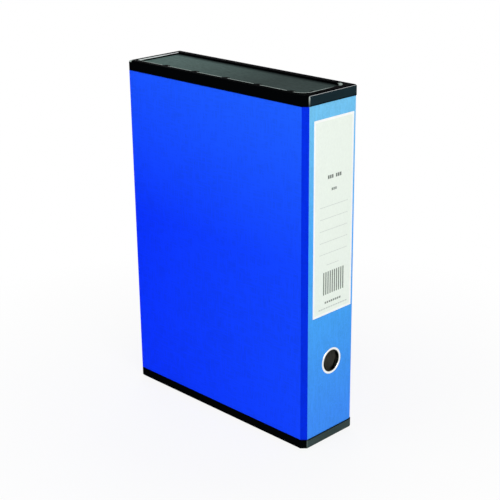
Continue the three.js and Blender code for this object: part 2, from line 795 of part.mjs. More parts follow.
function clampSpring(end) {
  const anchor = CLAMP_PIVOT_RISE - FIT;
  const curve = new SpringWire(
    CLAMP_SPRING_RADIUS,
    CLAMP_SPRING_LENGTH,
    CLAMP_SPRING_TURNS,
    anchor,
    CLAMP_SPRING_LEG,
  );
  const place = knuckleEdge - CLAMP_KNUCKLE_LENGTH - CLAMP_SPRING_LENGTH / 2 - CLAMP_SPRING_MARGIN;
  return wire(curve, CLAMP_WIRE / 2).translate(CLAMP_PIVOT_X, pivotY, middle + end * place);
}

// Catch: outer plate, inner case, button with its nose, spring, striker on the lid
function catchPlate() {
  const outline = rectangle(
    catchY - CATCH_PLATE_WIDTH / 2,
    catchZ - CATCH_PLATE_LENGTH / 2,
    catchY + CATCH_PLATE_WIDTH / 2,
    catchZ + CATCH_PLATE_LENGTH / 2,
    CATCH_PLATE_ROUND,
  );
  const plate = prismX(outline, -halfDepth, coverFace);
  return cut(
    plate,
    holeX(catchY, catchZ, buttonHole),
    ...catchRivets.map((z) => holeX(catchY, z, rivetSink)),
  );
}

function catchRivet(z) {
  const headHeight = coverFace + halfDepth - RIVET_SINK;
  const grip = wallInside + CATCH_CASE_WALL - coverFace;
  const profile = [
    [0, -headHeight],
    [RIVET_HEAD - RIVET_EDGE, -headHeight],
    [RIVET_HEAD, 0],
    [RIVET_SHANK, 0],
    [RIVET_SHANK, grip],
    [RIVET_HEAD, grip],
    [RIVET_HEAD * RIVET_CROWN, grip + RIVET_HEAD_HEIGHT],
    [0, grip + RIVET_HEAD_HEIGHT],
  ];
  return alongX(turned(profile, RIVET_STEPS)).translate(coverFace, catchY, z);
}

const noseFace = strikerX + STRIKER_METAL + FIT;
const nosePlateFace = noseFace + NOSE_STEP;
const springFront = nosePlateFace + NOSE_PLATE + FIT;
const springShut = (CATCH_SPRING_TURNS + 1) * CATCH_WIRE;
const springBack = springFront + BUTTON_TRAVEL + springShut - FIT;
const caseBack = springBack + FIT + CATCH_CASE_WALL;
const catchCaseTop = wallTop - CATCH_CASE_CLEAR;

function catchCase() {
  const half = CATCH_CASE_LENGTH / 2;
  const wall = CATCH_CASE_WALL;
  const floor = catchY - CATCH_CASE_BELOW;
  const flangeHalf = CATCH_RIVET_SPACING / 2 + RIVET_HEAD + CATCH_FLANGE_MARGIN;
  const shell = prismX(
    rectangle(floor, catchZ - half, catchCaseTop, catchZ + half, CATCH_CASE_ROUND),
    wallInside,
    caseBack,
  );
  const hollow = prismX(
    rectangle(
      floor + wall,
      catchZ - half + wall,
      catchCaseTop - wall,
      catchZ + half - wall,
      CATCH_CASE_ROUND - wall,
    ),
    wallInside - OVERRUN,
    caseBack - wall,
  );
  const flange = prismX(
    rectangle(
      catchY - CATCH_FLANGE_WIDTH / 2,
      catchZ - flangeHalf,
      catchY + CATCH_FLANGE_WIDTH / 2,
      catchZ + flangeHalf,
      CATCH_FLANGE_ROUND,
    ),
    wallInside,
    wallInside + wall,
  );
  const slot = prismY(
    rectangle(
      catchZ - STRIKER_WIDTH / 2 - STRIKER_PLAY,
      wallInside - OVERRUN,
      catchZ + STRIKER_WIDTH / 2 + STRIKER_PLAY,
      strikerX + STRIKER_METAL + STRIKER_SETBACK,
    ),
    catchCaseTop - wall - OVERRUN,
    catchCaseTop + OVERRUN,
  );
  return cut(
    join(shell, flange),
    hollow,
    slot,
    ...catchRivets.map((z) => holeX(catchY, z, rivetHole)),
  );
}

const windowLow = lidInner - STRIKER_DROP + STRIKER_LIP;
const windowHigh = windowLow + STRIKER_WINDOW;

function catchButton() {
  const outer = -halfDepth + BUTTON_SINK;
  const flangeFace = wallInside + FIT;
  const body = alongX(turned([
    [0, outer + BUTTON_DISH],
    [BUTTON_RADIUS - 2 * BUTTON_RIM, outer + BUTTON_DISH],
    [BUTTON_RADIUS - BUTTON_RIM, outer],
    [BUTTON_RADIUS - BUTTON_EDGE, outer],
    [BUTTON_RADIUS, outer + BUTTON_EDGE],
    [BUTTON_RADIUS, flangeFace],
    [BUTTON_FLANGE, flangeFace],
    [BUTTON_FLANGE, flangeFace + BUTTON_FLANGE_THICKNESS],
    [BUTTON_RADIUS / 2, flangeFace + BUTTON_FLANGE_THICKNESS],
    [BUTTON_RADIUS / 2, nosePlateFace + NOSE_PLATE / 2],
    [0, nosePlateFace + NOSE_PLATE / 2],
  ])).translate(0, catchY, catchZ);
  const plate = prismX(
    rectangle(
      catchY - BUTTON_RADIUS,
      catchZ - NOSE_WIDTH / 2,
      windowHigh + NOSE_PLAY,
      catchZ + NOSE_WIDTH / 2,
      NOSE_PLATE_ROUND,
    ),
    nosePlateFace,
    nosePlateFace + NOSE_PLATE,
  );
  const noseHalf = STRIKER_WINDOW_WIDTH / 2 - NOSE_PLAY;
  const nose = prism([
    point(nosePlateFace + NOSE_PLATE / 2, windowLow - NOSE_PLAY),
    point(noseFace, windowLow + NOSE_LEAD),
    point(noseFace, windowLow + NOSE_LEAD + NOSE_TIP),
    point(nosePlateFace + NOSE_PLATE / 2, windowHigh),
  ], catchZ - noseHalf, catchZ + noseHalf);
  return join(body, plate, nose);
}

function catchSpring() {
  const length = springBack - springFront - CATCH_WIRE;
  const curve = new SpringWire(CATCH_SPRING_RADIUS, length, CATCH_SPRING_TURNS);
  const spring = wire(curve, CATCH_WIRE / 2).rotateY(Math.PI / 2);
  return spring.translate((springFront + springBack) / 2, catchY, catchZ);
}

function catchStriker() {
  const bend = foldedSheet([
    point(strikerX + STRIKER_METAL + STRIKER_FOOT_LENGTH, lidInner),
    point(strikerX, lidInner),
    point(strikerX, lidInner - STRIKER_DROP),
  ], STRIKER_METAL);
  const strip = prism(bend, catchZ - STRIKER_WIDTH / 2, catchZ + STRIKER_WIDTH / 2);
  const foot = prismY(
    rectangle(
      catchZ - STRIKER_FOOT_WIDTH / 2,
      strikerX + 2 * STRIKER_METAL,
      catchZ + STRIKER_FOOT_WIDTH / 2,
      strikerX + STRIKER_METAL + STRIKER_FOOT_LENGTH,
      STRIKER_FOOT_ROUND,
    ),
    lidInner - STRIKER_METAL,
    lidInner,
  );
  const window = prismX(
    rectangle(
      windowLow,
      catchZ - STRIKER_WINDOW_WIDTH / 2,
      windowHigh,
      catchZ + STRIKER_WINDOW_WIDTH / 2,
      STRIKER_WINDOW_ROUND,
    ),
    strikerX - OVERRUN,
    strikerX + STRIKER_METAL + OVERRUN,
  );
  return cut(join(strip, foot), window, ...strikerHoles(0, WIDTH));
}

// Materials
const finish = (color, roughness, metalness) => ({ color, roughness, metalness });
const moulding = finish(0x14191a, 0.35, 0);
const panelBoard = finish(0x44524f, 0.8, 0);
const greyBoard = finish(0x8d8578, 0.95, 0);
const coverPaper = finish(0x1046f5, 0.75, 0);
const liningPaper = finish(0xe9e7df, 0.9, 0);
const labelPaper = finish(0xf0f3ee, 0.85, 0);
const nickel = finish(0xd6d8d8, 0.18, 1);
const springSteel = finish(0x9a9c9c, 0.35, 1);
const buttonPlastic = finish(0x101314, 0.3, 0);

const boxFile = new THREE.Group();

function add(name, geometry, look) {
  const closed = facingOut(geometry);
  closed.computeVertexNormals();
  const mesh = new THREE.Mesh(closed, new THREE.MeshStandardMaterial(look));
  mesh.name = name;
  boxFile.add(mesh);
}

// Case
const frame = endFrame();
const panel = endPanel();
add('bottom_end_frame', frame, moulding);
add('top_end_frame', mirrored(frame), moulding);
add('bottom_end_panel', panel, panelBoard);
add('top_end_panel', mirrored(panel), panelBoard);
add('fore_edge_board', cut(boardPiece(0), ...catchHoles()), greyBoard);
add('base_board', baseBoard(), greyBoard);
add('corner_board', boardPiece(2), greyBoard);
add('spine_board', cut(boardPiece(3), fingerHole()), greyBoard);
add('case_cover', cut(caseCover(), fingerHole(), ...catchHoles()), coverPaper);
add('case_lining', cut(caseLining(), fingerHole(), ...catchHoles(), ...clampHoles(-WIDTH, 0)), liningPaper);
add('spine_label', spineLabel(), labelPaper);
add('finger_ring', fingerRing(), nickel);
add('ring_washer', ringWasher(), nickel);

// Paper clamp
add('clamp_plate', clampPlate(), nickel);
clampRivets.forEach(({ x, z }, i) => {
  const low = boardOutside + sinkDepth;
  const head = rivet(plateTop - low).translate(x, low, z);
  add(`clamp_plate_rivet_${i + 1}`, head, nickel);
});
add('clamp_pin', clampPin(), springSteel);
add('clamp_spring_upper', clampSpring(1), springSteel);
add('clamp_spring_lower', clampSpring(-1), springSteel);
add('clamp_arm', clampArm(), nickel);
add('clamp_bar', clampBar(), nickel);
barRivets.forEach((z, i) => {
  add(`clamp_bar_rivet_${i + 1}`, rivet(armTop - barUnder).translate(barMiddle, barUnder, z), nickel);
});

// Catch
add('catch_plate', catchPlate(), nickel);
add('catch_case', catchCase(), nickel);
catchRivets.forEach((z, i) => add(`catch_rivet_${i + 1}`, catchRivet(z), nickel));
add('catch_button', catchButton(), buttonPlastic);
add('catch_spring', catchSpring(), springSteel);

// Lid
add('lid_board', lidBoard(), greyBoard);
add('lid_cover', lidCover(), coverPaper);
add('lid_lining', lidLining(), liningPaper);
add('catch_striker', catchStriker(), nickel);
strikerRivets.forEach(({ x, z }, i) => {
  const low = lidInner - STRIKER_METAL;
  add(`striker_rivet_${i + 1}`, rivet(lidBoardTop - sinkDepth - low).translate(x, low, z), nickel);
});

export default boxFile;
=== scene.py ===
import json
import math

import bpy
import numpy as np
from bpy.props import FloatProperty, FloatVectorProperty, IntProperty, PointerProperty
from bpy.types import Operator, Panel, PropertyGroup
from mathutils import Matrix, Vector


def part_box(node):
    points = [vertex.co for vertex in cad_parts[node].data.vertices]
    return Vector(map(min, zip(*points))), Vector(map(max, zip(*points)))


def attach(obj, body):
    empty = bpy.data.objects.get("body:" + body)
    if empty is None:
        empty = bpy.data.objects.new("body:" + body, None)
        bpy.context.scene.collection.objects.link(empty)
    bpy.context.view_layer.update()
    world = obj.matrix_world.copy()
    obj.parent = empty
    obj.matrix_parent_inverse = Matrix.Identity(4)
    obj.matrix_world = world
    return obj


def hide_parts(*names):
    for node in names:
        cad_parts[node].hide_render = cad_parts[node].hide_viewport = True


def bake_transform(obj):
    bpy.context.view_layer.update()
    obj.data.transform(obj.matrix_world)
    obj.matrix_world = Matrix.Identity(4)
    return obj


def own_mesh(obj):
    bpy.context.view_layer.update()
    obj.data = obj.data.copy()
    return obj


bl_info = {
    "name": "Box file dressing",
    "version": (1, 0, 0),
    "blender": (4, 5, 0),
    "location": "View3D > Sidebar > Box file",
    "description": "Gives the packed box file its paper, print, bright metal, springs and studio",
    "category": "Object",
}

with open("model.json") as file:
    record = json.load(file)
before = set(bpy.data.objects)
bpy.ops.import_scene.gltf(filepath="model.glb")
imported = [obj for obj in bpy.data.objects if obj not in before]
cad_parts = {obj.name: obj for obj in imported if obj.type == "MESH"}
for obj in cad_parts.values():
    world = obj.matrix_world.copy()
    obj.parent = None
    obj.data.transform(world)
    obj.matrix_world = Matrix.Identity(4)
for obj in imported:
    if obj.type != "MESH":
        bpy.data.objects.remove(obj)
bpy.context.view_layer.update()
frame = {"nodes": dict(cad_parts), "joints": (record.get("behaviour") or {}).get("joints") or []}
NODES = frame["nodes"]
JOINTS = {joint["name"]: joint for joint in frame["joints"]}

MM = 0.001
WHITE = (1, 1, 1, 1)

# The solids that pieces and patterns are measured from
LABEL_LOW, LABEL_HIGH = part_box("spine_label")
LABEL_MIDDLE, LABEL_HALF = (LABEL_LOW + LABEL_HIGH) / 2, (LABEL_HIGH - LABEL_LOW) / 2
RING_LOW, RING_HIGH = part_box("finger_ring")
END_LOW, END_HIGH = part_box("top_end_frame")
PANEL_LOW, PANEL_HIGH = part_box("top_end_panel")
COVER_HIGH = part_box("case_cover")[1]
LID_LOW, LID_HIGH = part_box("lid_cover")

# The ends: half the height, where the bands start, the bevel, and the outline of their recesses
TOP = END_HIGH.z
MIDDLE_Z = TOP / 2
BAND_INNER = COVER_HIGH.z - MIDDLE_Z
BEVEL_Y = -31.1 * MM
PANEL_GAP = 0.3 * MM
RECESS_MIDDLE = ((PANEL_LOW.x + PANEL_HIGH.x) / 2, 0, 0)
RECESS_HALF = ((PANEL_HIGH.x - PANEL_LOW.x) / 2 + PANEL_GAP, PANEL_HIGH.y + PANEL_GAP, 0)
RECESS_FORE = RECESS_MIDDLE[0] - RECESS_HALF[0]
RECESS_SPINE = RECESS_MIDDLE[0] + RECESS_HALF[0]
RECESS_SPINE_CORNER = 11 * MM
RECESS_FORE_CORNER = 1.5 * MM

# The lugs: those on the base side, the one on the spine side, how far they stay under the rim, how
# far off them the painted highlight along the recess's edge stops, the share of their radius that is a flat
# eye, and their grid
LUGS = 5
LUG_FIRST = -77 * MM
LUG_PITCH = 44.5 * MM
SPINE_LUG_Y = -14 * MM
LUG_CLEAR = 0.05 * MM
LUG_FREE = 4.2 * MM
LUG_EYE = 0.1
LUG_ROWS, LUG_STEPS = 10, 40

# The cover: x minus y on the bevel's face, and how far under a face its colour starts and is whole
BEVEL_SLANT = 158.65 * MM
SKIN_START, SKIN_WHOLE = 0.07 * MM, 0.02 * MM

# The label: rings and corner steps of its sheet, the dip of its glued edge, its border and its ink
LABEL_RINGS, LABEL_CORNER_STEPS = 24, 8
LABEL_DIP, LABEL_DIP_POWER = 0.04 * MM, 60
LABEL_BORDER, LABEL_BORDER_SOFT = 2.2 * MM, 0.4 * MM
INK_UNDER, INK_OVER = 0.01 * MM, 0.02 * MM
INKS = {"dark": "#5d665f", "grey": "#7b857d", "rule": "#c9d2ca", "bars": "#6d786f"}

# The print, in millimetres from the label's middle line and foot. Each row is of like shapes: its
# ink, how many, the left edge of the first, the step to the next, their width, foot and head. Each
# ruled line is its left edge, right edge and foot.
PRINT_ROWS = (
    ("dark", 3, -8.6, 2.9, 2.2, 141.4, 145.0),
    ("dark", 3, 3.0, 2.9, 2.2, 141.4, 145.0),
    ("grey", 3, -2.9, 2.6, 2.0, 128.9, 131.5),
    ("grey", 8, -11.3, 3.1, 2.2, 12.0, 14.1),
    ("rule", 12, -20.4, 3.6, 2.9, 6.3, 7.6),
    ("bars", 10, -13.8, 3.2, 1.6, 21.7, 45.7),
)
PRINT_LINES = [(-19.7, 21.4, 113.7 - 12.2 * k) for k in range(5)] + [(-9.1, 8.9, 52.7)]

# The finger ring: how far its curl stays inside its flange, and how full and fine its dome is
RING_CURL_INSET = 0.4 * MM
RING_DOME_POWER = 0.8
RING_ARC_STEPS = 25

# The springs: turns, points along the wire, sides of the wire, points along the clamp springs'
# feet and legs, and where the catch's spring stands
CLAMP_SPRINGS = ("clamp_spring_lower", "clamp_spring_upper")
CLAMP_TURNS, CLAMP_COIL_STEPS, CLAMP_SIDES = 5.25, 400, 16
CLAMP_FOOT_STEPS, CLAMP_LEG_STEPS = 15, 39
CATCH_Y = 12.5 * MM
CATCH_TURNS, CATCH_STEPS, CATCH_SIDES = 3, 260, 14
# A direction that no wire here runs along, which sets where the sides of a wire start
OFF_WIRE = (0.31, 0.17, 0.93)

# The hinge strip: its reach on case and lid, its thin layer, and the groove and bend of its fold
HINGE_Y = JOINTS["lid_hinge"]["pos_m"][1]
STRIP_ON_CASE, STRIP_ON_LID, STRIP_END = 2.2 * MM, 1.6 * MM, 0.2 * MM
STRIP_UNDER, STRIP_OVER = 0.005 * MM, 0.06 * MM
FOLD_DEPTH, FOLD_WIDTH, FOLD_REACH = 0.04 * MM, 0.25 * MM, 0.35 * MM
STRIP_ACROSS_STEPS, STRIP_UP_STEPS = 39, 24

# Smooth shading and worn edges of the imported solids
WELD_DISTANCE = 0.01 * MM
SMOOTH_UNDER = math.radians(28)
BEVEL_OVER = math.radians(40)
EDGE_SEGMENTS = 2

# Where nearly all values of a noise lie
NOISE = (0.3, 0.7)

# The studio, in metres and degrees, with the sensor in millimetres. The floor's glow is 0.86 within
# 0.16 m of the middle and whole past 0.5 m. The camera's angles, and its place along its own right,
# up and back, are from a solve on the corners of the box in the photograph.
LAMPS = {"key": (1.5, -0.9, 1.3), "fill": (-0.9, -1.7, 0.9), "back": (-1.4, 1.3, 0.6)}
LAMP_SIZE = 1.6
LAMP_AIM = (0, 0, 0.2)
FLOOR_STEPS = 9
FLOOR_GLOW = (0.16, 0.5, 0.86, 1.0)
CAMERA_AZIMUTH, CAMERA_ELEVATION, CAMERA_ROLL = 45.24, 20.20, -0.641
CAMERA_RIGHT, CAMERA_UP, CAMERA_BACK = 0.008975, 0.166653, 1.349477
SENSOR_WIDTH = 36


# Colours, numbers and nodes

def linear(code):
    """Linear red, green and blue of an sRGB hex value, by the sRGB curve."""
    channels = np.array([int(code[i:i + 2], 16) for i in (1, 3, 5)]) / 255
    low, high = channels / 12.92, ((channels + 0.055) / 1.055) ** 2.4
    return tuple(float(c) for c in np.where(channels <= 0.04045, low, high))


def rgba(colour):
    """A colour with full opacity, from a hex value or three linear numbers. A socket stays as it is."""
    if isinstance(colour, bpy.types.NodeSocket):
        return colour
    return (*(linear(colour) if isinstance(colour, str) else colour), 1.0)


def length_property(name, text, millimetres):
    """A length shown in Blender's own units, from a default in millimetres."""
    return FloatProperty(
        name=name, description=text, default=millimetres * MM, min=0, unit="LENGTH", precision=5,
    )


def power_property(name, watts):
    """The power of a lamp, shown in Blender's own units."""
    text = f"Power of the {name.lower()} lamp"
    return FloatProperty(name=name, description=text, default=watts, min=0, unit="POWER")


def colour_property(name, text, code):
    """A colour picker whose default is an sRGB hex value."""
    return FloatVectorProperty(
        name=name, description=text, default=linear(code), subtype="COLOR", size=3, min=0, max=1,
    )


def connect(tree, node, inputs):
    """Links or fills a node's inputs: those in use in their order, or those that a dictionary names."""
    in_use = [socket for socket in node.inputs if socket.enabled]
    pairs = inputs.items() if isinstance(inputs, dict) else enumerate(inputs)
    for key, value in pairs:
        socket = node.inputs[key] if isinstance(key, str) else in_use[key]
        if isinstance(value, bpy.types.NodeSocket):
            tree.links.new(value, socket)
        else:
            socket.default_value = value


def add_node(tree, kind, inputs=(), output=None, **settings):
    """Adds a node with its settings and links. Gives the socket of the output that is named, or of
    the first one in use."""
    made = tree.nodes.new(kind)
    for name, value in settings.items():
        setattr(made, name, value)
    connect(tree, made, inputs)
    if output:
        return made.outputs[output]
    return next((socket for socket in made.outputs if socket.enabled), None)


def new_material(name):
    """A material with an empty principled shader, and the object coordinates that patterns read."""
    made = bpy.data.materials.new(name)
    made.use_nodes = True
    tree = made.node_tree
    place = add_node(tree, "ShaderNodeTexCoord", output="Object")
    return made, tree, tree.nodes["Principled BSDF"], place


# Patterns

def band(value, low, high, soft):
    """The two ranges whose product is 1 from low to high and fades to 0 over a soft width outside."""
    return (value, low - soft, low), (value, high + soft, high)


def fade(tree, first, second, *ranges):
    """The socket of a colour that goes from first to second as the product of the ranges goes from 0
    to 1. A range is a value, where it starts and where it ends, which give 0 and 1, or else two more
    numbers say what they give."""
    share = 1.0
    for reach in ranges:
        part = add_node(tree, "ShaderNodeMapRange", reach)
        share = add_node(tree, "ShaderNodeMath", (share, part), operation="MULTIPLY")
    return add_node(tree, "ShaderNodeMix", (share, rgba(first), rgba(second)), data_type="RGBA")


def shaded(tree, colour, reach):
    """The socket of a colour times the number that a range gives."""
    shade = add_node(tree, "ShaderNodeMapRange", reach)
    return add_node(tree, "ShaderNodeVectorMath", (colour, shade), operation="SCALE")


def grain(tree, place, spacing, stretch=(1, 1, 1), detail=2.0):
    """The socket of a noise whose blobs are about as wide as the spacing, stretched along an axis."""
    turned = add_node(tree, "ShaderNodeMapping", {"Vector": place, "Scale": stretch})
    inputs = {"Vector": turned, "Scale": 0.5 / spacing, "Detail": detail, "Roughness": 0.6}
    return add_node(tree, "ShaderNodeTexNoise", inputs)


# Meshes from arrays

def make_piece(name, points, faces, material, body=None, smooth=True):
    """An object at the origin from arrays of points and faces, riding on a body."""
    mesh = bpy.data.meshes.new(name)
    mesh.from_pydata(np.asarray(points).reshape(-1, 3).tolist(), [], [tuple(face) for face in faces])
    mesh.validate()
    mesh.materials.append(material)
    mesh.polygons.foreach_set("use_smooth", np.full(len(mesh.polygons), smooth))
    mesh.update()
    piece = bpy.data.objects.new(name, mesh)
    bpy.context.scene.collection.objects.link(piece)
    if body:
        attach(piece, body)
    return piece


def grid_faces(rows, columns, round_rows=False, round_columns=False):
    """Four-sided faces between neighbouring points of a grid, joined round where a side is closed."""
    row = np.arange(rows if round_rows else rows - 1)
    column = np.arange(columns if round_columns else columns - 1)
    r, c = (side.ravel() for side in np.meshgrid(row, column, indexing="ij"))
    here, below, right = r * columns, (r + 1) % rows * columns, (c + 1) % columns
    return np.stack([here + c, here + right, below + right, below + c], axis=1)


def lathe_x(profile, centre, steps):
    """A closed outline of (radius, x) turned about the X axis through centre: each outline point
    goes to (x, y + radius cos angle, z + radius sin angle). Faces point out where the outline
    runs anticlockwise as radius against x is drawn."""
    radius, x = np.asarray(profile, float).T
    angle = np.linspace(0, 2 * math.pi, steps, endpoint=False)
    points = np.empty((steps, len(radius), 3))
    points[..., 0] = x
    points[..., 1] = centre[1] + np.outer(np.cos(angle), radius)
    points[..., 2] = centre[2] + np.outer(np.sin(angle), radius)
    return points, grid_faces(steps, len(radius), round_rows=True, round_columns=True)


def tube(path, radius, sides):
    """A round wire along a path: at each point a circle of that radius square to the path's
    direction, as radius (cos angle a + sin angle b). Direction a is square to the path and to
    OFF_WIRE, and b is square to the path and to a. The two ends are closed."""
    path = np.asarray(path, float)
    along = np.gradient(path, axis=0)
    along /= np.linalg.norm(along, axis=1, keepdims=True)
    first = np.cross(along, OFF_WIRE)
    first /= np.linalg.norm(first, axis=1, keepdims=True)
    second = np.cross(along, first)
    angle = np.linspace(0, 2 * math.pi, sides, endpoint=False)
    circle = np.cos(angle)[None, :, None] * first[:, None] + np.sin(angle)[None, :, None] * second[:, None]
    points = path[:, None] + radius * circle
    faces = grid_faces(len(path), sides, round_columns=True)
    caps = [list(range(sides))[::-1], list(range((len(path) - 1) * sides, len(path) * sides))]
    return points, faces.tolist() + caps


def slabs(rectangles, low, high):
    """Thin boxes on the spine: each rectangle is (y0, z0, y1, z1) and lies from x = low to high."""
    box = np.asarray(rectangles, float)
    corner = np.array([[0, 0], [1, 0], [1, 1], [0, 1]])
    y = np.where(corner[:, 0] == 0, box[:, [0]], box[:, [2]])
    z = np.where(corner[:, 1] == 0, box[:, [1]], box[:, [3]])
    points = np.empty((len(box), 8, 3))
    points[:, :4, 0], points[:, 4:, 0] = low, high
    points[..., 1], points[..., 2] = np.tile(y, 2), np.tile(z, 2)
    sides = np.array([
        [4, 5, 6, 7], [3, 2, 1, 0], [0, 1, 5, 4], [1, 2, 6, 5], [2, 3, 7, 6], [3, 0, 4, 7],
    ])
    return points, (sides[None] + 8 * np.arange(len(box))[:, None, None]).reshape(-1, 4)


# Materials

def cover_paper_material(colours):
    """Linen-embossed cover paper: bright blue and matt. Its spine is painted paler, and palest at its
    head, as painted light; the base board is painted paler towards the spine and its upper end, and
    the bevel is painted darker as painted shade.
    The emboss is a crossing of two sets of threads. The real ones are about 0.5 mm apart and would
    not show, so they are drawn a millimetre apart."""
    made, tree, shader, place = new_material("linen_embossed_cover_paper")
    x, y, z = (add_node(tree, "ShaderNodeSeparateXYZ", [place], axis) for axis in "XYZ")
    # Painted light: the spine is painted paler than the base, and palest towards its head.
    spine = fade(tree, colours.spine_painted_light_low, colours.spine_painted_light_mid, (z, 30 * MM, 150 * MM))
    spine = fade(tree, spine, colours.spine_painted_light_high, (z, 220 * MM, 360 * MM))
    # Painted light: the base board is painted paler towards the spine and towards its upper end.
    towards_spine = add_node(tree, "ShaderNodeMapRange", (x, END_LOW.x, END_HIGH.x, 0, 0.35))
    towards_top = add_node(tree, "ShaderNodeMapRange", (z, 200 * MM, 360 * MM, 0, 0.65))
    painted_light_share = add_node(tree, "ShaderNodeMath", (towards_spine, towards_top), operation="ADD")
    colour = fade(tree, colours.cover, colours.cover_painted_light, (painted_light_share, 0, 1))
    slant = add_node(tree, "ShaderNodeMath", (x, y), operation="SUBTRACT")
    # Painted shade on the bevel's face and painted light on the spine's face, each from just under the face.
    for tone, value, face in ((colours.bevel_painted_shade, slant, BEVEL_SLANT), (spine, x, COVER_HIGH.x)):
        colour = fade(tree, colour, tone, (value, face - SKIN_START, face - SKIN_WHOLE))
    cloud = grain(tree, place, 45 * MM, detail=3.0)
    weft = grain(tree, place, 1.0 * MM, (0.12, 1, 1))
    warp = grain(tree, place, 1.0 * MM, (1, 1, 0.12))
    threads = add_node(tree, "ShaderNodeMath", (weft, warp), operation="MAXIMUM")
    colour = shaded(tree, colour, (cloud, *NOISE, 0.97, 1.03))
    colour = shaded(tree, colour, (threads, 0.4, 0.7, 0.92, 1.06))
    relief = add_node(tree, "ShaderNodeBump", {"Height": threads, "Distance": 0.08 * MM, "Strength": 0.7})
    connect(tree, shader, {
        "Base Color": colour, "Roughness": 0.7, "Specular IOR Level": 0.02, "Normal": relief,
    })
    return made


def lining_paper_material(colours):
    """Machine-glazed lining paper: quite matt, with soft upright fibres. The off-white paper is painted
    a greyer beige, a painted shade that darkens the finger hole.
    """
    made, tree, shader, place = new_material("machine_glazed_lining_paper")
    fibres = grain(tree, place, 1.2 * MM, (1, 1, 0.3), 4.0)
    relief = add_node(tree, "ShaderNodeBump", {"Height": fibres, "Distance": 0.03 * MM, "Strength": 0.4})
    connect(tree, shader, {
        "Base Color": fade(tree, "#a6a398", colours.lining, (fibres, 0.35, 0.65)),
        "Roughness": 0.75, "Specular IOR Level": 0.2, "Normal": relief,
    })
    return made


def grey_board_material():
    """Pulped grey board: layers of recycled fibre, flecked dark and light, fully matt."""
    made, tree, shader, place = new_material("pulped_grey_board")
    fibres = grain(tree, place, 0.8 * MM, (0.4, 1, 1), 5.0)
    relief = add_node(tree, "ShaderNodeBump", {"Height": fibres, "Distance": 0.08 * MM, "Strength": 0.5})
    connect(tree, shader, {
        "Base Color": fade(tree, "#6f685b", "#a79e8c", (fibres, 0.35, 0.65)),
        "Roughness": 0.9, "Specular IOR Level": 0.1, "Normal": relief,
    })
    return made


def recess_offset(tree, x, y):
    """The socket of how far a point lies outside the recess's edge, seen from above:
    length(max(|p - c| - (h - r), 0)) - r, with c the recess's middle, h its half size and r its
    corner radius, which is larger on the spine side."""
    radii = (x, 0.0, 1 * MM, RECESS_FORE_CORNER, RECESS_SPINE_CORNER)
    radius = add_node(tree, "ShaderNodeMapRange", radii)
    corner = add_node(tree, "ShaderNodeCombineXYZ", (radius, radius))
    flat = add_node(tree, "ShaderNodeCombineXYZ", (x, y))
    steps = (
        ("SUBTRACT", [RECESS_MIDDLE]), ("ABSOLUTE", []), ("SUBTRACT", [RECESS_HALF]), ("ADD", [corner]),
        ("MAXIMUM", [(0, 0, 0)]),
    )
    for operation, others in steps:
        flat = add_node(tree, "ShaderNodeVectorMath", (flat, *others), operation=operation)
    away = add_node(tree, "ShaderNodeVectorMath", [flat], operation="LENGTH")
    return add_node(tree, "ShaderNodeMath", (away, radius), operation="SUBTRACT")


def lug_distance(tree, x, y):
    """The socket of the distance to the middle of the nearest lug on the recess's base side, whose
    lugs stand at x = first + k pitch, for k from 0 to the last: the length of (x - first - k pitch,
    y + half the recess's width), with k = (x - first) / pitch rounded and kept from 0 to the last."""
    along = add_node(tree, "ShaderNodeMath", (x, LUG_FIRST), operation="SUBTRACT")
    nearest = along
    steps = (("DIVIDE", [LUG_PITCH]), ("ROUND", []), ("MAXIMUM", [0.0]), ("MINIMUM", [LUGS - 1.0]),
             ("MULTIPLY", [LUG_PITCH]))
    for operation, others in steps:
        nearest = add_node(tree, "ShaderNodeMath", (nearest, *others), operation=operation)
    along = add_node(tree, "ShaderNodeMath", (along, nearest), operation="SUBTRACT")
    across = add_node(tree, "ShaderNodeMath", (y, RECESS_HALF[1]), operation="ADD")
    flat = add_node(tree, "ShaderNodeCombineXYZ", (along, across))
    return add_node(tree, "ShaderNodeVectorMath", [flat], operation="LENGTH")


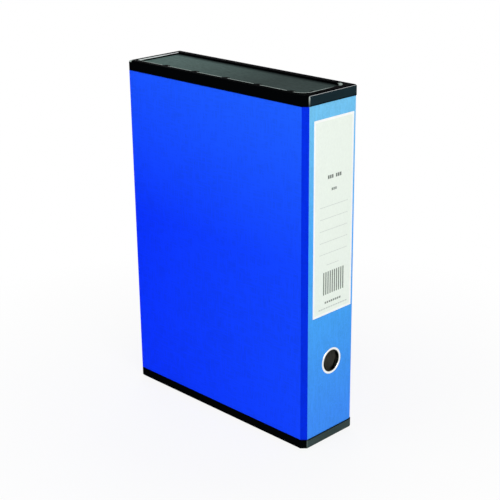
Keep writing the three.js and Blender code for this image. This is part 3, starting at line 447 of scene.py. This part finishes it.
def moulding_material(colours):
    """High-impact polystyrene, injection moulded in black with a fine spark-eroded grain, which only
    a close view shows. Its spine side is painted grey-green as painted light, and painted highlights
    lie pale along the edge of the recess, on a corner and on some outer edges. It has next to no
    gloss, because the white room would turn it grey at the low angle at which its rim is seen."""
    made, tree, shader, place = new_material("moulded_black_polystyrene")
    x, y, z = (add_node(tree, "ShaderNodeSeparateXYZ", [place], axis) for axis in "XYZ")
    height = add_node(tree, "ShaderNodeMath", (z, MIDDLE_Z), operation="SUBTRACT")
    height = add_node(tree, "ShaderNodeMath", [height], operation="ABSOLUTE")
    on_rim = (height, MIDDLE_Z - 1.0 * MM, MIDDLE_Z - 0.6 * MM)
    outside = recess_offset(tree, x, y)
    clear_of_lugs = (lug_distance(tree, x, y), LUG_FREE, LUG_FREE + 0.4 * MM)
    spine_side_painted_light = fade(tree, colours.spine_side_painted_light_foot, colours.spine_side_painted_light_head, (z, 0, 360 * MM))
    painted_light_mottle = grain(tree, place, 9 * MM, (1, 0.4, 1), 3.0)
    zones = (
        # Painted light on the spine side, but for its lip next to the paper, which stays black as a
        # painted shadow line
        (spine_side_painted_light, (painted_light_mottle, *NOISE, 0.7, 1.0), (x, END_HIGH.x - 0.8 * MM, END_HIGH.x - 0.3 * MM),
         (height, BAND_INNER + 0.7 * MM, BAND_INNER + 1.1 * MM)),
        # Painted highlights on the outer edge of the rim on the lid side, and on its outer corner at the fore
        # edge
        (colours.far_rim_painted_highlight, on_rim, (y, END_HIGH.y - 1.8 * MM, END_HIGH.y - 1.2 * MM)),
        (colours.moulding_painted_highlight, (height, MIDDLE_Z - 1.6 * MM, MIDDLE_Z - 1.2 * MM),
         (x, END_LOW.x + 5.5 * MM, END_LOW.x + 4 * MM), (y, END_LOW.y + 4 * MM, END_LOW.y + 3 * MM)),
        # Painted highlights along the edge of the recess on the base side, broken at the lugs, and at its
        # corner by the spine and the lid
        (colours.moulding_painted_highlight, on_rim, clear_of_lugs, *band(outside, 0, 1.5 * MM, 0.2 * MM),
         (y, 14 * MM, 2 * MM)),
        (colours.moulding_painted_highlight, on_rim, *band(outside, 0, 3.2 * MM, 0.4 * MM),
         (x, RECESS_SPINE - 7.5 * MM, RECESS_SPINE - 4.5 * MM),
         (y, RECESS_HALF[1] - 9.2 * MM, RECESS_HALF[1] - 5.2 * MM, 0, 0.75)),
        # A painted highlight on the upper edge of the recess's end wall at the fore edge
        (colours.upper_edge_painted_highlight, (height, MIDDLE_Z - 0.5 * MM, MIDDLE_Z - 0.4 * MM),
         *band(x, RECESS_FORE - 0.5 * MM, RECESS_FORE + 0.3 * MM, 0.1 * MM),
         *band(y, 0.6 * MM - RECESS_HALF[1], RECESS_HALF[1] - 0.8 * MM, 0.3 * MM)),
        # Painted highlights on the upper edge and the first upright edge of the spine side
        (colours.upper_edge_painted_highlight, (z, TOP - 0.85 * MM, TOP - 0.65 * MM),
         (x, END_HIGH.x - 0.7 * MM, END_HIGH.x - 0.5 * MM)),
        (colours.moulding_lit, (x, END_HIGH.x - 0.8 * MM, END_HIGH.x - 0.5 * MM),
         (y, BEVEL_Y + 0.3 * MM, BEVEL_Y), (z, TOP - 9 * MM, TOP - 3 * MM, 0.1, 0.8)),
    )
    colour = colours.moulding
    for tone, *ranges in zones:
        colour = fade(tree, colour, tone, *ranges)
    sheen = grain(tree, place, 14 * MM, detail=3.0)
    spark = grain(tree, place, 0.25 * MM)
    relief = add_node(tree, "ShaderNodeBump", {"Height": spark, "Distance": 0.02 * MM, "Strength": 0.35})
    connect(tree, shader, {
        "Base Color": colour,
        "Roughness": add_node(tree, "ShaderNodeMapRange", (sheen, *NOISE, 0.36, 0.46)),
        "Specular IOR Level": 0.0002, "Normal": relief,
    })
    return made


def end_panel_material(colours):
    """Calendered board faced in dark grey-green: matt, with fine fibres, a painted sheen that makes it
    paler at the fore edge than at the spine, and painted shade along the wall on the lid side."""
    made, tree, shader, place = new_material("calendered_faced_board")
    x, y = (add_node(tree, "ShaderNodeSeparateXYZ", [place], axis) for axis in "XY")
    # Painted sheen: paler at the fore edge than at the spine.
    colour = fade(tree, colours.panel_fore, colours.panel_spine, (x, -120 * MM, 50 * MM))
    # Painted shade along the wall on the lid side.
    colour = fade(tree, colour, colours.moulding, (y, 20 * MM, 27 * MM, 0, 0.75))
    fibres = grain(tree, place, 0.9 * MM, (0.35, 1, 1), 4.0)
    relief = add_node(tree, "ShaderNodeBump", {"Height": fibres, "Distance": 0.03 * MM, "Strength": 0.4})
    connect(tree, shader, {
        "Base Color": shaded(tree, colour, (fibres, *NOISE, 0.8, 1.2)),
        "Roughness": 0.8, "Specular IOR Level": 0.012, "Normal": relief,
    })
    return made


def label_paper_material(colours):
    """Uncoated label stock: a pale tinted field inside a whiter trimmed border, soft and matt."""
    made, tree, shader, place = new_material("uncoated_label_stock")
    spread = add_node(tree, "ShaderNodeVectorMath", (place, tuple(LABEL_MIDDLE)), operation="SUBTRACT")
    spread = add_node(tree, "ShaderNodeVectorMath", [spread], operation="ABSOLUTE")
    edge = 0.0
    for axis, half in (("Y", LABEL_HALF.y), ("Z", LABEL_HALF.z)):
        away = add_node(tree, "ShaderNodeSeparateXYZ", [spread], axis)
        inner = half - LABEL_BORDER
        near = add_node(tree, "ShaderNodeMapRange", (away, inner - LABEL_BORDER_SOFT, inner))
        edge = add_node(tree, "ShaderNodeMath", (edge, near), operation="MAXIMUM")
    colour = fade(tree, colours.label, colours.label_border, (edge, 0, 1))
    fibres = grain(tree, place, 0.8 * MM, (1, 1, 0.5), 3.0)
    relief = add_node(tree, "ShaderNodeBump", {"Height": fibres, "Distance": 0.02 * MM, "Strength": 0.3})
    connect(tree, shader, {
        "Base Color": shaded(tree, colour, (fibres, *NOISE, 0.97, 1.02)),
        "Roughness": 0.8, "Specular IOR Level": 0.1, "Normal": relief,
    })
    return made


def ink_material(name, code):
    """Litho ink laid on uncoated paper: thin, matt, broken up a little by the paper's fibres."""
    made, tree, shader, place = new_material(name)
    fibres = grain(tree, place, 0.5 * MM, detail=3.0)
    connect(tree, shader, {
        "Base Color": fade(tree, code, "#e9f1e9", (fibres, 0.45, 0.75, 0, 0.25)),
        "Roughness": 0.7, "Specular IOR Level": 0.15,
    })
    return made


def nickel_material():
    """Bright nickel plate on steel: near mirror, with a faint haze of finger marks."""
    made, tree, shader, place = new_material("bright_nickel_plate")
    haze = grain(tree, place, 6 * MM, detail=4.0)
    connect(tree, shader, {
        "Base Color": fade(tree, "#f8f9f7", "#ecefed", (haze, 0.35, 0.7)),
        "Metallic": 1.0,
        "Roughness": add_node(tree, "ShaderNodeMapRange", (haze, *NOISE, 0.14, 0.26)),
    })
    return made


def pressed_steel_material():
    """Dull nickel plate on pressed steel strip: grey where it is seen square on, and painted paler at its
    rolled edges and bends, where the surface turns from the view, as a painted sheen. The drawing
    lines along the strip have their real width, which only a close view shows."""
    made, tree, shader, place = new_material("dull_nickel_plated_strip")
    haze = grain(tree, place, 5 * MM, detail=4.0)
    lines = grain(tree, place, 0.15 * MM, (1, 1, 0.1), 1.0)
    facing = add_node(tree, "ShaderNodeLayerWeight", {"Blend": 0.35}, "Facing")
    plain = fade(tree, "#a5a8a7", "#8f9392", (haze, 0.35, 0.7))
    connect(tree, shader, {
        # Painted sheen: the colour pales where the surface turns from the view.
        "Base Color": fade(tree, plain, "#dfe1df", (facing, 0.1, 0.9)),
        "Metallic": 1.0,
        "Roughness": add_node(tree, "ShaderNodeMapRange", (haze, *NOISE, 0.22, 0.36)),
        "Normal": add_node(tree, "ShaderNodeBump", {"Height": lines, "Distance": 0.01 * MM, "Strength": 0.2}),
    })
    return made


def spring_steel_material():
    """Zinc-plated spring wire: a grey metal, drawn smooth, slightly streaked along its length."""
    made, tree, shader, place = new_material("zinc_plated_spring_wire")
    streaks = grain(tree, place, 0.5 * MM, (1, 1, 0.3), 3.0)
    connect(tree, shader, {
        "Base Color": fade(tree, "#8f9296", "#b9bcbe", (streaks, 0.35, 0.65)),
        "Metallic": 1.0,
        "Roughness": add_node(tree, "ShaderNodeMapRange", (streaks, *NOISE, 0.28, 0.42)),
    })
    return made


def button_material():
    """Black acetal button: a moulded satin skin with polished patches from thumbs. Its fine grain
    has its real width, which only a close view shows."""
    made, tree, shader, place = new_material("moulded_black_acetal")
    patches = grain(tree, place, 3 * MM, detail=3.0)
    skin = grain(tree, place, 0.2 * MM)
    connect(tree, shader, {
        "Base Color": fade(tree, "#101212", "#1c1f1f", (patches, 0, 1)),
        "Roughness": add_node(tree, "ShaderNodeMapRange", (patches, *NOISE, 0.28, 0.42)),
        "Specular IOR Level": 0.35,
        "Normal": add_node(tree, "ShaderNodeBump", {"Height": skin, "Distance": 0.01 * MM, "Strength": 0.3}),
    })
    return made


def once(name, make, *values):
    """The material of that name, made the first time that it is asked for."""
    return bpy.data.materials.get(name) or make(*values)


def cover_paper(scene):
    """The blue cover paper, shared by the case, the lid and the strip over their hinge."""
    return once("linen_embossed_cover_paper", cover_paper_material, scene.box_file_colours)


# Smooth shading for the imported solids

def smoothing_nodes(limit):
    """A node tree that welds loose triangles and shades them smooth, but for the edges whose two
    faces meet at more than the limit."""
    tree = bpy.data.node_groups.new("weld_and_smooth", "GeometryNodeTree")
    tree.interface.new_socket("Geometry", in_out="INPUT", socket_type="NodeSocketGeometry")
    tree.interface.new_socket("Geometry", in_out="OUTPUT", socket_type="NodeSocketGeometry")
    solid = add_node(tree, "NodeGroupInput")
    solid = add_node(tree, "GeometryNodeMergeByDistance", {"Geometry": solid, "Distance": WELD_DISTANCE})
    solid = add_node(tree, "GeometryNodeSetShadeSmooth", {"Geometry": solid}, domain="FACE")
    angle = add_node(tree, "GeometryNodeInputMeshEdgeAngle", output="Unsigned Angle")
    steep = add_node(tree, "FunctionNodeCompare", (angle, limit), data_type="FLOAT", operation="GREATER_THAN")
    sharp = {"Geometry": solid, "Selection": steep, "Shade Smooth": False}
    solid = add_node(tree, "GeometryNodeSetShadeSmooth", sharp, domain="EDGE")
    add_node(tree, "NodeGroupOutput", [solid])
    return tree


def dress(names, material, edge=0.0):
    """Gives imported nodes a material, smooth round faces and, where edge is set, a fine rounded edge."""
    tree = bpy.data.node_groups.get("weld_and_smooth") or smoothing_nodes(SMOOTH_UNDER)
    for name in names:
        node = NODES[name]
        node.data.materials.clear()
        node.data.materials.append(material)
        node.modifiers.new("weld_and_smooth", "NODES").node_group = tree
        if edge:
            bevel = node.modifiers.new("fine_edge", "BEVEL")
            bevel.width, bevel.segments = edge, EDGE_SEGMENTS
            bevel.limit_method, bevel.angle_limit = "ANGLE", BEVEL_OVER


# What a user may change

class BoxFileSizes(PropertyGroup):
    ring_outer: length_property("Ring outside", "Outside radius of the finger ring", 14.2)
    ring_hole: length_property("Ring hole", "Radius of the finger hole inside the ring", 11.8)
    ring_wall: length_property("Ring wall", "Thickness of the ring's metal", 0.3)
    lug_radius: length_property("Lug radius", "Radius of the lugs on the end panels", 4.5)
    lug_rise: length_property("Lug rise", "Height of a lug's domed crown", 0.5)
    lug_stem: length_property("Lug stem", "Height of a lug's stem under its crown", 1.2)
    label_corner: length_property("Label corner", "Radius of the label's corners", 0.6)
    rule_width: length_property("Rule width", "Width of the label's ruled lines", 0.45)
    spring_radius: length_property("Clamp spring radius", "Mean radius of the clamp's springs", 4.0)
    spring_wire: length_property("Clamp spring wire", "Thickness of the clamp's spring wire", 1.0)
    catch_radius: length_property("Catch spring radius", "Mean radius of the catch's spring", 3.0)
    catch_wire: length_property("Catch spring wire", "Thickness of the catch's spring wire", 0.6)
    edge: length_property("Fine edge", "Radius worn on the edges of pressed metal", 0.12)
    ring_steps: IntProperty(name="Round steps", description="Steps round a turned piece", default=128, min=24)


class BoxFileColours(PropertyGroup):
    cover: colour_property("Cover", "Cover paper", "#0533fe")
    # Painted light: the cover painted paler near the upper end and towards the spine.
    cover_painted_light: colour_property("Cover, high", "Cover paper near the upper end", "#1d5efe")
    # Painted shade: the cover on the bevel is painted darker.
    bevel_painted_shade: colour_property("Bevel", "Cover paper on the bevelled corner", "#022bda")
    # Painted light: the spine's three colours are the cover painted paler, palest at the head.
    spine_painted_light_low: colour_property("Spine, low", "Faded cover paper at the foot of the spine", "#4292fa")
    spine_painted_light_mid: colour_property("Spine, middle", "Faded cover paper at the ring", "#4aa8fa")
    spine_painted_light_high: colour_property("Spine, high", "Faded cover paper at the head of the spine", "#76c6f2")
    # Painted shade: the lining is greyed from off-white, which darkens the finger hole.
    lining: colour_property("Lining", "Lining paper", "#bab7ac")
    moulding: colour_property("Moulding", "Black moulded ends", "#030405")
    # Painted light: the spine side of the moulding, lighter at its foot than at its head.
    spine_side_painted_light_foot: colour_property("Moulding, foot", "Handled moulding at the foot of the spine", "#465552")
    spine_side_painted_light_head: colour_property("Moulding, head", "Handled moulding at the head of the spine", "#1d2d33")
    # Painted highlights on the moulding: the recess's edge and a corner, the spine side's first upright edge,
    # the outer rim edge on the lid side, and the upper edges of the fore end and spine.
    moulding_painted_highlight: colour_property("Moulding, rubbed", "Rubbed edge of the recess and a corner", "#b0beb8")
    moulding_lit: colour_property("Moulding, pale", "First upright edge of the spine side", "#a9b4af")
    far_rim_painted_highlight: colour_property("Moulding, far", "Outer edge of the rim on the lid side", "#475250")
    upper_edge_painted_highlight: colour_property("Moulding, edge", "Rubbed upper edges of fore end and spine", "#f6fafb")
    # Painted sheen: the end panel is paler at the fore edge than at the spine.
    panel_fore: colour_property("Panel, fore", "End panel near the fore edge", "#5b716d")
    panel_spine: colour_property("Panel, spine", "End panel near the spine", "#354240")
    label: colour_property("Label", "Tinted field of the label", "#eff8ee")
    label_border: colour_property("Label border", "Bare border of the label", "#fcfefb")


class BoxFileStage(PropertyGroup):
    key_power: power_property("Key", 27)
    fill_power: power_property("Fill", 11)
    back_power: power_property("Back", 20)
    room: FloatProperty(name="Room", description="Strength of the room's soft light", default=0.37, min=0)
    lens: FloatProperty(
        name="Lens", description="Focal length of the camera in millimetres", default=86.99, min=1,
    )
    floor: length_property("Floor", "Width of the studio floor", 12000)


# Operators, one for each piece or group of like pieces

class DressEnds(Operator):
    """Gives the two moulded end frames and their recessed panels their finish"""

    bl_idname = "boxfile.dress_ends"
    bl_label = "Moulded ends"

    def execute(self, context):
        colours = context.scene.box_file_colours
        moulding = once("moulded_black_polystyrene", moulding_material, colours)
        dress(("bottom_end_frame", "top_end_frame"), moulding)
        dress(("bottom_end_panel", "top_end_panel"), end_panel_material(colours))
        return {"FINISHED"}


class MakeLugs(Operator):
    """Raises the round lugs that hold each end panel down in its recess"""

    bl_idname = "boxfile.make_lugs"
    bl_label = "Panel lugs"

    def execute(self, context):
        """Each lug is a low dome on a short stem. A point at angle a and share s of the radius r lies
        at (r s cos a, r s sin a) from its middle, rise (1 - s^4) above the dome's foot. A flat eye
        closes the crown."""
        sizes = context.scene.box_file_sizes
        share = np.append(np.linspace(LUG_EYE, 1, LUG_ROWS - 1), 1)
        angle = np.linspace(0, 2 * math.pi, LUG_STEPS, endpoint=False)
        shape = np.empty((LUG_ROWS, LUG_STEPS, 3))
        shape[..., 0] = sizes.lug_radius * np.outer(share, np.cos(angle))
        shape[..., 1] = sizes.lug_radius * np.outer(share, np.sin(angle))
        shape[..., 2] = (sizes.lug_rise * (1 - share ** 4))[:, None]
        shape[-1, :, 2] = -sizes.lug_stem
        shape[..., 2] += MIDDLE_Z - LUG_CLEAR - sizes.lug_rise
        centres = [(LUG_FIRST + k * LUG_PITCH, -RECESS_HALF[1], 0) for k in range(LUGS)]
        centres.append((RECESS_SPINE, SPINE_LUG_Y, 0))
        walls = grid_faces(LUG_ROWS, LUG_STEPS, round_columns=True)
        first = np.arange(len(centres)) * LUG_ROWS * LUG_STEPS
        walls = (walls + first[:, None, None]).reshape(-1, 4)
        caps = np.arange(LUG_STEPS) + first[:, None]
        material = once("moulded_black_polystyrene", moulding_material, context.scene.box_file_colours)
        for name, side in (("top", 1), ("bottom", -1)):
            points = (shape.reshape(-1, 3) + np.array(centres)[:, None]) * (1, 1, side) + (0, 0, MIDDLE_Z)
            faces = [face[::-side] for face in (*walls.tolist(), *caps[:, ::-1].tolist())]
            make_piece(f"{name}_panel_lugs", points, faces, material, "case")
        return {"FINISHED"}


class DressCase(Operator):
    """Gives the boards, the cover paper and the lining paper of case and lid their finish"""

    bl_idname = "boxfile.dress_case"
    bl_label = "Boards and papers"

    def execute(self, context):
        boards = ("fore_edge_board", "base_board", "corner_board", "spine_board", "lid_board")
        dress(boards, grey_board_material())
        dress(("case_cover", "lid_cover"), cover_paper(context.scene))
        dress(("case_lining", "lid_lining"), lining_paper_material(context.scene.box_file_colours))
        return {"FINISHED"}


class DressMetal(Operator):
    """Gives the clamp, the catch and the rivets their plated metal, and the button its plastic"""

    bl_idname = "boxfile.dress_metal"
    bl_label = "Metalwork"

    def execute(self, context):
        strip = pressed_steel_material()
        edge = context.scene.box_file_sizes.edge
        pressed = ("clamp_plate", "clamp_arm", "clamp_bar", "catch_plate", "catch_case", "catch_striker")
        rivets = [name for name in NODES if "rivet" in name]
        dress(pressed, strip, edge)
        dress(["ring_washer", *rivets], strip)
        dress(("clamp_pin",), once("zinc_plated_spring_wire", spring_steel_material))
        dress(("catch_button",), button_material(), edge)
        return {"FINISHED"}


class MakeLabel(Operator):
    """Lays the spine label: a trimmed sheet with rounded corners and plain printed shapes"""

    bl_idname = "boxfile.make_label"
    bl_label = "Spine label"

    def execute(self, context):
        colours, sizes = context.scene.box_file_colours, context.scene.box_file_sizes
        self.sheet(colours, sizes)
        self.print_shapes(sizes)
        return {"FINISHED"}

    def sheet(self, colours, sizes):
        """A rounded rectangle in rings: ring k is the outline scaled about the label's middle by
        s = k / rings, and lies dip s^power under the face, so that the glued edge dips."""
        rings, radius = LABEL_RINGS, sizes.label_corner
        quarter = np.linspace(0, 1, LABEL_CORNER_STEPS + 1)
        turn = (quarter + np.arange(4)[:, None]) * math.pi / 2
        signs = np.array([[1, 1], [-1, 1], [-1, -1], [1, -1]])
        y = signs[:, [0]] * (LABEL_HALF.y - radius) + radius * np.cos(turn)
        z = signs[:, [1]] * (LABEL_HALF.z - radius) + radius * np.sin(turn)
        outline = np.stack([y.ravel(), z.ravel()], axis=1)
        share = np.linspace(1 / rings, 1, rings)
        face = LABEL_HIGH.x - LABEL_DIP * share ** LABEL_DIP_POWER
        front = np.empty((rings, len(outline), 3))
        front[..., 0] = face[:, None]
        front[..., 1:] = LABEL_MIDDLE[1:] + share[:, None, None] * outline
        back = front[-1].copy()
        back[:, 0] = LABEL_LOW.x
        points = np.concatenate([front.reshape(-1, 3), back])
        count = len(outline)
        faces = grid_faces(rings + 1, count, round_columns=True)[:, ::-1].tolist()
        faces.append(list(range(count)))
        faces.append(list(range(rings * count, (rings + 1) * count))[::-1])
        paper = label_paper_material(colours)
        label = make_piece("label_sheet", points, faces, paper, "case", smooth=False)
        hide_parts("spine_label")

    def print_shapes(self, sizes):
        """Plain bars and rules on the label, as films of ink a few hundredths of a millimetre proud
        of it. Shape k of a row starts k steps after the row's first."""
        shapes = {ink: [] for ink in INKS}
        for ink, count, left, step, width, foot, head in PRINT_ROWS:
            lefts = [left + step * k for k in range(count)]
            shapes[ink] += [(place, foot, place + width, head) for place in lefts]
        for left, right, foot in PRINT_LINES:
            shapes["rule"].append((left, foot, right, foot + sizes.rule_width / MM))
        origin = (LABEL_MIDDLE.y, LABEL_LOW.z)
        for ink, rectangles in shapes.items():
            places = np.array(rectangles) * MM + np.tile(origin, 2)
            points, faces = slabs(places, LABEL_HIGH.x - INK_UNDER, LABEL_HIGH.x + INK_OVER)
            material = ink_material(f"{ink}_litho_ink", INKS[ink])
            make_piece(f"label_print_{ink}", points, faces, material, "case", smooth=False)


class MakeRing(Operator):
    """Turns the finger ring: a domed flange, a tube through the spine and a curl behind the washer"""

    bl_idname = "boxfile.make_ring"
    bl_label = "Finger ring"

    def execute(self, context):
        sizes = context.scene.box_file_sizes
        centre = (RING_LOW + RING_HIGH) / 2
        face, back = COVER_HIGH.x, RING_LOW.x
        crown = RING_HIGH.x - face
        hole, outer, wall = sizes.ring_hole, sizes.ring_outer, sizes.ring_wall
        tube_outer, curl = hole + wall, outer - RING_CURL_INSET
        swing = np.linspace(0, math.pi, RING_ARC_STEPS)
        # The dome runs from the flange's rim over to the hole: its radius goes with the cosine of the
        # swing and its height with a power of the sine, which makes it a little fuller than an ellipse.
        dome = np.stack([
            (outer + hole) / 2 + (outer - hole) / 2 * np.cos(swing),
            face + crown * np.sin(swing) ** RING_DOME_POWER,
        ], axis=1)
        # The curl is half an ellipse that rolls outwards behind the washer.
        roll = (curl - hole) / 2
        curled = np.stack([
            hole + roll - roll * np.cos(swing),
            back + wall / 2 * (1 - np.sin(swing)),
        ], axis=1)
        rest = [(curl, back + wall), (tube_outer, back + wall), (tube_outer, face)]
        profile = np.concatenate([dome, curled, rest])
        points, faces = lathe_x(profile, centre, sizes.ring_steps)
        ring = make_piece("ring_turned", points, faces, nickel_material(), "case")
        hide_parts("finger_ring")
        return {"FINISHED"}


class MakeClampSprings(Operator):
    """Winds the two clamp springs, each with a short foot and a long leg over the arm"""

    bl_idname = "boxfile.make_clamp_springs"
    bl_label = "Clamp springs"

    def execute(self, context):
        sizes = context.scene.box_file_sizes
        steel = once("zinc_plated_spring_wire", spring_steel_material)
        pivot = Vector(JOINTS["clamp_pivot"]["pos_m"])
        for name in CLAMP_SPRINGS:
            low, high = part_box(name)
            path = self.path(sizes.spring_radius, pivot, low, high, sizes.spring_wire / 2)
            points, faces = tube(path, sizes.spring_wire / 2, CLAMP_SIDES)
            spring = make_piece(f"{name}_wound", points, faces, steel)
            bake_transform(spring)
            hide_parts(name)
        return {"FINISHED"}

    def path(self, radius, pivot, low, high, half_wire):
        """A helix about Z, with a short foot down to the plate and a long leg over the arm:
        x = radius cos angle, y = radius sin angle, z rises evenly."""
        angle = np.linspace(0, 2 * math.pi * CLAMP_TURNS, CLAMP_COIL_STEPS)
        height = np.linspace(low.z + half_wire, high.z - half_wire, CLAMP_COIL_STEPS)
        coil = np.stack([pivot.x + radius * np.cos(angle), pivot.y + radius * np.sin(angle), height], axis=1)
        drop = np.linspace(pivot.y - low.y - half_wire, 0, CLAMP_FOOT_STEPS + 1)[:-1]
        foot = np.column_stack(np.broadcast_arrays(coil[0, 0], pivot.y - drop, coil[0, 2]))
        run = np.linspace(0, pivot.x - low.x - half_wire, CLAMP_LEG_STEPS + 1)[1:]
        leg = np.column_stack(np.broadcast_arrays(pivot.x - run, coil[-1, 1], coil[-1, 2]))
        return np.concatenate([foot, coil, leg])


class MakeCatchSpring(Operator):
    """Winds the catch's spring"""

    bl_idname = "boxfile.make_catch_spring"
    bl_label = "Catch spring"

    def execute(self, context):
        """The wire is a helix about X: y = radius sin angle, z = radius cos angle, x rises evenly."""
        sizes = context.scene.box_file_sizes
        low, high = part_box("catch_spring")
        radius, half_wire = sizes.catch_radius, sizes.catch_wire / 2
        angle = np.linspace(0, 2 * math.pi * CATCH_TURNS, CATCH_STEPS)
        centre = (low + high) / 2
        path = np.stack([
            np.linspace(low.x + half_wire, high.x - half_wire, CATCH_STEPS),
            CATCH_Y + radius * np.sin(angle),
            centre.z + radius * np.cos(angle),
        ], axis=1)
        points, faces = tube(path, half_wire, CATCH_SIDES)
        steel = once("zinc_plated_spring_wire", spring_steel_material)
        spring = make_piece("catch_spring_wound", points, faces, steel, "case")
        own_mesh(spring)
        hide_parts("catch_spring")
        return {"FINISHED"}


class MakeHingeStrip(Operator):
    """Lays the cover paper over the hinge line, with a shallow groove along it"""

    bl_idname = "boxfile.make_hinge_strip"
    bl_label = "Hinge strip"

    def execute(self, context):
        """The layer lies on the case's spine face. Its groove is depth e^(-((y - fold) / width)^2)."""
        face = COVER_HIGH.x
        across = np.linspace(HINGE_Y - STRIP_ON_CASE, HINGE_Y + STRIP_ON_LID, STRIP_ACROSS_STEPS)
        up = np.linspace(LID_LOW.z + STRIP_END, LID_HIGH.z - STRIP_END, STRIP_UP_STEPS)
        groove = FOLD_DEPTH * np.exp(-(((across - HINGE_Y) / FOLD_WIDTH) ** 2))
        z, y = np.meshgrid(up, across, indexing="ij")
        outer = np.stack([np.broadcast_to(face + STRIP_OVER - groove, y.shape), y, z], axis=-1)
        inner = outer.copy()
        inner[..., 0] = face + STRIP_UNDER
        loop = np.concatenate([outer, inner[:, ::-1]], axis=1)
        faces = grid_faces(len(up), loop.shape[1], round_columns=True).tolist()
        count = loop.shape[1]
        faces.append(list(range(count))[::-1])
        faces.append(list(range((len(up) - 1) * count, len(up) * count)))
        paper = cover_paper(context.scene)
        strip = make_piece("hinge_strip", loop, faces, paper, smooth=False)
        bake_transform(strip)
        return {"FINISHED"}


class SetStage(Operator):
    """Sets the floor, the soft lamps, the room light and the camera"""

    bl_idname = "boxfile.set_stage"
    bl_label = "Studio"

    def execute(self, context):
        stage = context.scene.box_file_stage
        self.floor(stage)
        for name, place in LAMPS.items():
            self.lamp(name, getattr(stage, f"{name}_power"), place)
        self.room(context.scene, stage.room)
        self.camera(context.scene, stage.lens)
        context.scene.view_settings.view_transform = "Standard"
        return {"FINISHED"}

    def seen(self, tree):
        """The socket that is 1 for camera, mirror and glass rays, and 0 for light that bounces."""
        seen = 0.0
        for name in ("Camera", "Glossy", "Transmission"):
            ray = add_node(tree, "ShaderNodeLightPath", output=f"Is {name} Ray")
            seen = add_node(tree, "ShaderNodeMath", (seen, ray), operation="MAXIMUM")
        return seen

    def floor(self, stage):
        """A flat pale floor, which shows white but keeps a soft shadow round the object."""
        reach = np.linspace(-stage.floor / 2, stage.floor / 2, FLOOR_STEPS)
        y, x = np.meshgrid(reach, reach, indexing="ij")
        points = np.stack([x, y, np.zeros_like(x)], axis=-1)
        made, tree, shader, place = new_material("matt_white_floor")
        tree.nodes.remove(shader)
        matt = add_node(tree, "ShaderNodeBsdfDiffuse", {"Color": rgba("#eeeeee")})
        glow = add_node(tree, "ShaderNodeEmission", {"Color": WHITE, "Strength": 1.0})
        distance = add_node(tree, "ShaderNodeVectorMath", [place], operation="LENGTH")
        clear = add_node(tree, "ShaderNodeMapRange", (distance, *FLOOR_GLOW))
        share = add_node(tree, "ShaderNodeMath", (clear, self.seen(tree)), operation="MULTIPLY")
        shown = add_node(tree, "ShaderNodeMixShader", (share, matt, glow))
        connect(tree, tree.nodes["Material Output"], {"Surface": shown})
        faces = grid_faces(FLOOR_STEPS, FLOOR_STEPS)
        make_piece("floor", points, faces, made, smooth=False)

    def lamp(self, name, power, place):
        """A square soft lamp that looks at the middle of the box file."""
        light = bpy.data.lights.new(f"{name}_lamp", "AREA")
        light.energy, light.size = power, LAMP_SIZE
        lamp = bpy.data.objects.new(f"{name}_lamp", light)
        bpy.context.scene.collection.objects.link(lamp)
        lamp.location = place
        aim = Vector(LAMP_AIM) - Vector(place)
        lamp.rotation_euler = aim.to_track_quat("-Z", "Y").to_euler()

    def room(self, scene, strength):
        """Even light from all round, and plain white where a camera, mirror or glass ray goes."""
        world = bpy.data.worlds.new("soft_room")
        world.use_nodes = True
        tree = world.node_tree
        level = add_node(tree, "ShaderNodeMapRange", (self.seen(tree), 0, 1, strength, 1.0))
        connect(tree, tree.nodes["Background"], {"Color": WHITE, "Strength": level})
        scene.world = world

    def camera(self, scene, lens):
        """A camera at the photograph's angle: its back, right and up directions from its angles, and
        its place as so far along each of them from the middle of the foot."""
        angles = (CAMERA_AZIMUTH, CAMERA_ELEVATION, CAMERA_ROLL)
        azimuth, elevation, roll = (math.radians(angle) for angle in angles)
        back = Vector((
            math.sin(azimuth) * math.cos(elevation),
            -math.cos(azimuth) * math.cos(elevation),
            math.sin(elevation),
        ))
        level = Vector((math.cos(azimuth), math.sin(azimuth), 0))
        upright = back.cross(level)
        right = level * math.cos(roll) + upright * math.sin(roll)
        up = upright * math.cos(roll) - level * math.sin(roll)
        data = bpy.data.cameras.new("photo_camera")
        data.lens, data.sensor_width = lens, SENSOR_WIDTH
        camera = bpy.data.objects.new("photo_camera", data)
        scene.collection.objects.link(camera)
        turn = Matrix((right, up, back)).transposed().to_4x4()
        turn.translation = right * CAMERA_RIGHT + up * CAMERA_UP + back * CAMERA_BACK
        camera.matrix_world = turn
        scene.camera = camera


class BoxFilePanel(Panel):
    bl_idname = "VIEW3D_PT_box_file"
    bl_label = "Box file"
    bl_space_type = "VIEW_3D"
    bl_region_type = "UI"
    bl_category = "Box file"

    def draw(self, context):
        layout = self.layout
        for name, kind in GROUPS.items():
            box = layout.box()
            for setting in kind.__annotations__:
                box.prop(getattr(context.scene, name), setting)
        for operator in OPERATORS:
            layout.operator(operator.bl_idname)


OPERATORS = (
    DressEnds, MakeLugs, DressCase, DressMetal, MakeLabel, MakeRing, MakeClampSprings, MakeCatchSpring,
    MakeHingeStrip, SetStage,
)
GROUPS = {"box_file_sizes": BoxFileSizes, "box_file_colours": BoxFileColours, "box_file_stage": BoxFileStage}


def register():
    for kind in (*GROUPS.values(), *OPERATORS, BoxFilePanel):
        bpy.utils.register_class(kind)
    for name, kind in GROUPS.items():
        setattr(bpy.types.Scene, name, PointerProperty(type=kind))


def unregister():
    for name in GROUPS:
        delattr(bpy.types.Scene, name)
    for kind in (BoxFilePanel, *reversed(OPERATORS), *reversed(GROUPS.values())):
        bpy.utils.unregister_class(kind)


def main():
    register()
    for operator in OPERATORS:
        group, name = operator.bl_idname.split(".")
        result = getattr(getattr(bpy.ops, group), name)()
        if result != {"FINISHED"}:
            raise RuntimeError(f"{operator.bl_label} did not finish")


if __name__ == "__main__":
    main()
